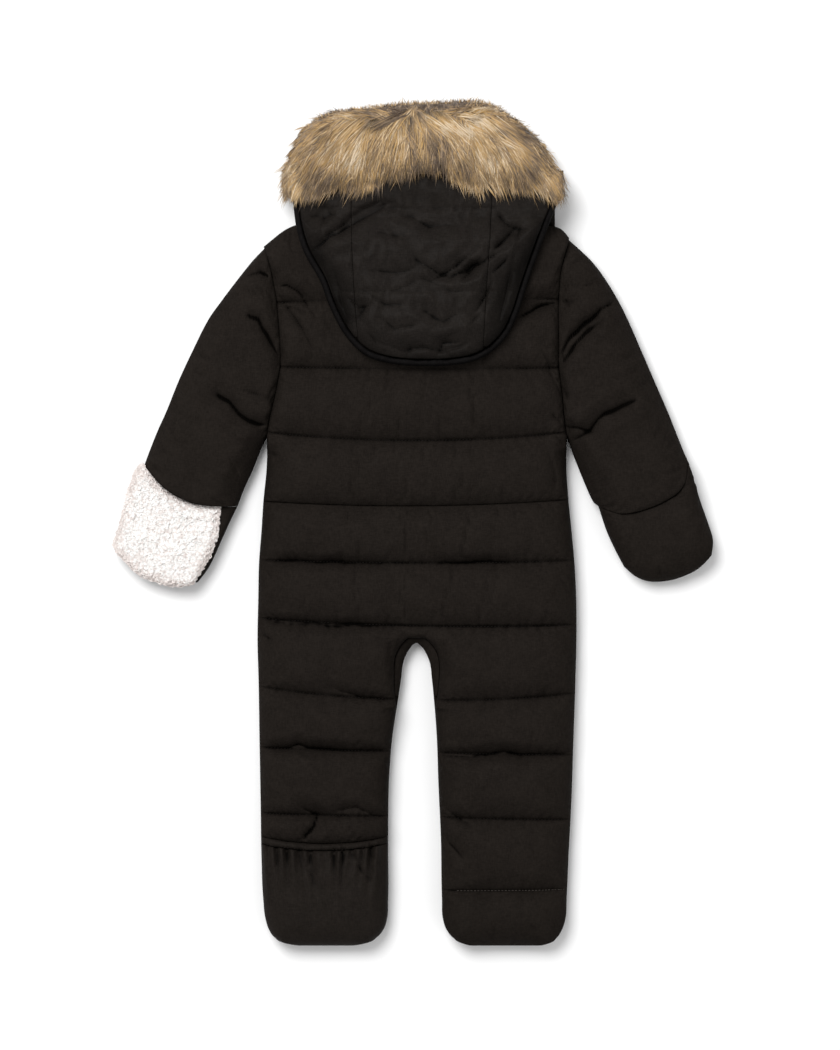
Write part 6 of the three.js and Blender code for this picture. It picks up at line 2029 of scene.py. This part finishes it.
class SNOWSUIT_OT_fur(bpy.types.Operator):
    """The fur round the hood's opening: a backing roll above and below, and strands in locks"""

    bl_idname = "snowsuit.fur"
    bl_label = "Fur Trim"

    def execute(self, context):
        sizes, looks = context.scene.snowsuit_sizes, context.scene.snowsuit_looks
        backing = undercoat_material(looks)
        for name, sheet, floor in (("top", fur_base_sheets(), BACK_BOTTOM),
                                   ("chin", fur_chin_sheet(), FRONT_TOP)):
            mesh = closed_flat(f"fur_trim_{name}_cloth", [sheet], floor)
            placed(mesh, f"fur_trim_{name}", backing)
        strand = fur_material("Fur strands", looks)
        spines, tones, middle, draw = fur_locks(sizes)
        under, under_tones = chin_strands(sizes, draw)
        widths = sizes.fur_width / MM * np.array([1, 1, 0.92, 0.75, 0.5, 0.05])
        bounds = (-200, -42, 60, 200)
        for number, (low, high) in enumerate(zip(bounds, bounds[1:])):
            part = (middle >= low) & (middle < high)
            roll = draw.uniform(-0.9, 0.9, part.sum())
            mesh = ribbon_mesh(f"fur_strands_{number + 1}", spines[part], widths,
                               sideways_of(spines[part], roll),
                               tones[part])
            added(mesh, f"fur_strands_{number + 1}", strand)
        roll = draw.uniform(-1.2, 1.2, len(under))
        mesh = ribbon_mesh("fur_strands_lower", under, widths, sideways_of(under, roll), under_tones)
        added(mesh, "fur_strands_lower", strand)
        return {"FINISHED"}


class SNOWSUIT_OT_stitching(bpy.types.Operator):
    """Rows of stitches on the quilting lines, the hood's seams, the casing and the ankle"""

    bl_idname = "snowsuit.stitching"
    bl_label = "Stitching"

    def execute(self, context):
        sizes, looks = context.scene.snowsuit_sizes, context.scene.snowsuit_looks
        body = ["back_yoke_cloth", "seat_and_legs_cloth"]
        hood = ["hood_centre_cloth", "hood_side_left_cloth", "hood_side_right_cloth"]
        paths = []
        for name in QUILT_LINES:
            if name not in ("mouth", "ankle", "waist"):
                for low, high in self.stretches(name):
                    x = np.linspace(low, high, int((high - low) / 1.5))
                    paths.append(laid_on(np.column_stack([x, line_y(name)(x)]), body, 0.15))
        seam_y = np.linspace(314, 196, 90)
        for side, way in (("left", -1), ("right", 1)):
            for offset in (1.6, 4.4):
                x = at(HOOD_SEAMS, "y", seam_y, side) + way * offset * (1 if side == "left" else -1)
                paths.append(laid_on(np.column_stack([x, seam_y]), hood, 0.15))
        x = np.linspace(-58, 70, 90)
        paths.append(laid_on(np.column_stack([x, np.full(90, HOOD_CROSS_LINES[1])]), hood, 0.1))
        x = np.linspace(-156, -34, 90)
        row = np.column_stack([x, foot_mouth(x) - CASING_DEPTH + 0.9])
        paths.append(laid_on(row, ["foot_casing_left_cloth"], 0.1))
        self.sew("stitches_dark", paths, sizes, thread_material("Dark thread", looks.thread))
        x = np.linspace(44, 160, 90)
        ankle = laid_on(np.column_stack([x, line_y("ankle")(x)]), body, 0.3)
        self.sew("stitches_ankle", [ankle], sizes, thread_material("Pale thread", looks.pale_thread))
        return {"FINISHED"}

    def stretches(self, name):
        """The stretches of a quilting line that show: one on the body, or one on each leg."""
        middle = np.array(float(QUILT_LINES[name][1]))
        left, right = float(edge_x("left", middle)) + 5, float(edge_x("right", middle)) - 5
        if middle > CROTCH_Y:
            return [(left, right)]
        return [(left, float(inseam_x("left", middle)) - 5), (float(inseam_x("right", middle)) + 5, right)]

    def sew(self, name, paths, sizes, material):
        points, quads, ends = stitch_beads(
            [path for path in paths if len(path) > 3], sizes.stitch_length / MM, sizes.stitch_pitch / MM,
            sizes.stitch_thickness / MM)
        mesh = fill_mesh(name, points, [quads, ends])
        recalculated(mesh)
        added(mesh, name, material)


class SNOWSUIT_OT_stage(bpy.types.Operator):
    """The camera straight above, the pale floor and the soft studio light"""

    bl_idname = "snowsuit.stage"
    bl_label = "Stage"

    def execute(self, context):
        stage, scene = context.scene.snowsuit_stage, context.scene
        camera = bpy.data.cameras.new("Camera")
        camera.sensor_width = 36
        camera.lens = camera.sensor_width * (stage.camera_height - 0.03) / stage.view_height
        camera.clip_end = 50
        view = bpy.data.objects.new("Camera", camera)
        view.location = (stage.centre_x, stage.centre_y, stage.camera_height)
        scene.collection.objects.link(view)
        scene.camera = view
        half = stage.floor_size / 2
        corners = np.array([[[-half, half, 0], [half, half, 0]], [[-half, -half, 0], [half, -half, 0]]])
        points, quads, _ = joined([corners / MM])
        mesh = fill_mesh("Floor", points - [0, 0, 0.3], [quads])
        floor = bpy.data.objects.new("Floor", mesh)
        scene.collection.objects.link(floor)
        mesh.materials.append(floor_material(scene.snowsuit_looks))
        self.light("Key", (-0.95, 1.3, 2.8), 1.9, stage.key_power)
        self.light("Fill", (1.9, -1.5, 2.2), 1.8, stage.fill_power)
        world = bpy.data.worlds.new("Surrounding")
        world.use_nodes = True
        sky = world.node_tree.nodes["Background"]
        sky.inputs["Color"].default_value = (1, 1, 1, 1)
        sky.inputs["Strength"].default_value = stage.sky
        scene.world = world
        scene.view_settings.view_transform = "Standard"
        return {"FINISHED"}

    def light(self, name, place, size, power):
        lamp = bpy.data.lights.new(name, "AREA")
        lamp.shape = "DISK"
        lamp.size = size
        lamp.energy = power
        holder = bpy.data.objects.new(name, lamp)
        holder.location = place
        aim = np.array(place) - np.array([0.0, 0.0, 0.03])
        holder.rotation_euler = (
            float(np.arctan2(np.hypot(aim[0], aim[1]), aim[2])), 0.0, float(np.arctan2(aim[0], -aim[1])))
        bpy.context.scene.collection.objects.link(holder)


OPERATORS = (
    SNOWSUIT_OT_stage, SNOWSUIT_OT_back_yoke, SNOWSUIT_OT_seat_and_legs, SNOWSUIT_OT_fronts,
    SNOWSUIT_OT_sleeves, SNOWSUIT_OT_mittens, SNOWSUIT_OT_feet, SNOWSUIT_OT_hood, SNOWSUIT_OT_fur,
    SNOWSUIT_OT_stitching,
)


class SNOWSUIT_PT_sidebar(bpy.types.Panel):
    """The suit's sizes, colours and pieces"""

    bl_idname = "SNOWSUIT_PT_sidebar"
    bl_label = "Toddler Snowsuit"
    bl_space_type = "VIEW_3D"
    bl_region_type = "UI"
    bl_category = "Snowsuit"

    def draw(self, context):
        for operator in OPERATORS:
            self.layout.operator(operator.bl_idname)
        for settings in (context.scene.snowsuit_sizes, context.scene.snowsuit_looks,
                         context.scene.snowsuit_stage):
            box = self.layout.box()
            for name in settings.__annotations__:
                box.prop(settings, name)


GROUPS = (SnowsuitSizes, SnowsuitLooks, SnowsuitStage)


def register():
    """Adds the settings, the operators and the panel."""
    for item in (*GROUPS, *OPERATORS, SNOWSUIT_PT_sidebar):
        bpy.utils.register_class(item)
    bpy.types.Scene.snowsuit_sizes = PointerProperty(type=SnowsuitSizes)
    bpy.types.Scene.snowsuit_looks = PointerProperty(type=SnowsuitLooks)
    bpy.types.Scene.snowsuit_stage = PointerProperty(type=SnowsuitStage)


def unregister():
    """Takes them out again."""
    del bpy.types.Scene.snowsuit_stage
    del bpy.types.Scene.snowsuit_looks
    del bpy.types.Scene.snowsuit_sizes
    for item in reversed((*GROUPS, *OPERATORS, SNOWSUIT_PT_sidebar)):
        bpy.utils.unregister_class(item)


def main():
    register()
    bpy.ops.snowsuit.stage()
    bpy.ops.snowsuit.back_yoke()
    bpy.ops.snowsuit.seat_and_legs()
    bpy.ops.snowsuit.fronts()
    bpy.ops.snowsuit.sleeves()
    bpy.ops.snowsuit.mittens()
    bpy.ops.snowsuit.feet()
    bpy.ops.snowsuit.hood()
    bpy.ops.snowsuit.fur()
    bpy.ops.snowsuit.stitching()


if __name__ == "__main__":
    main()
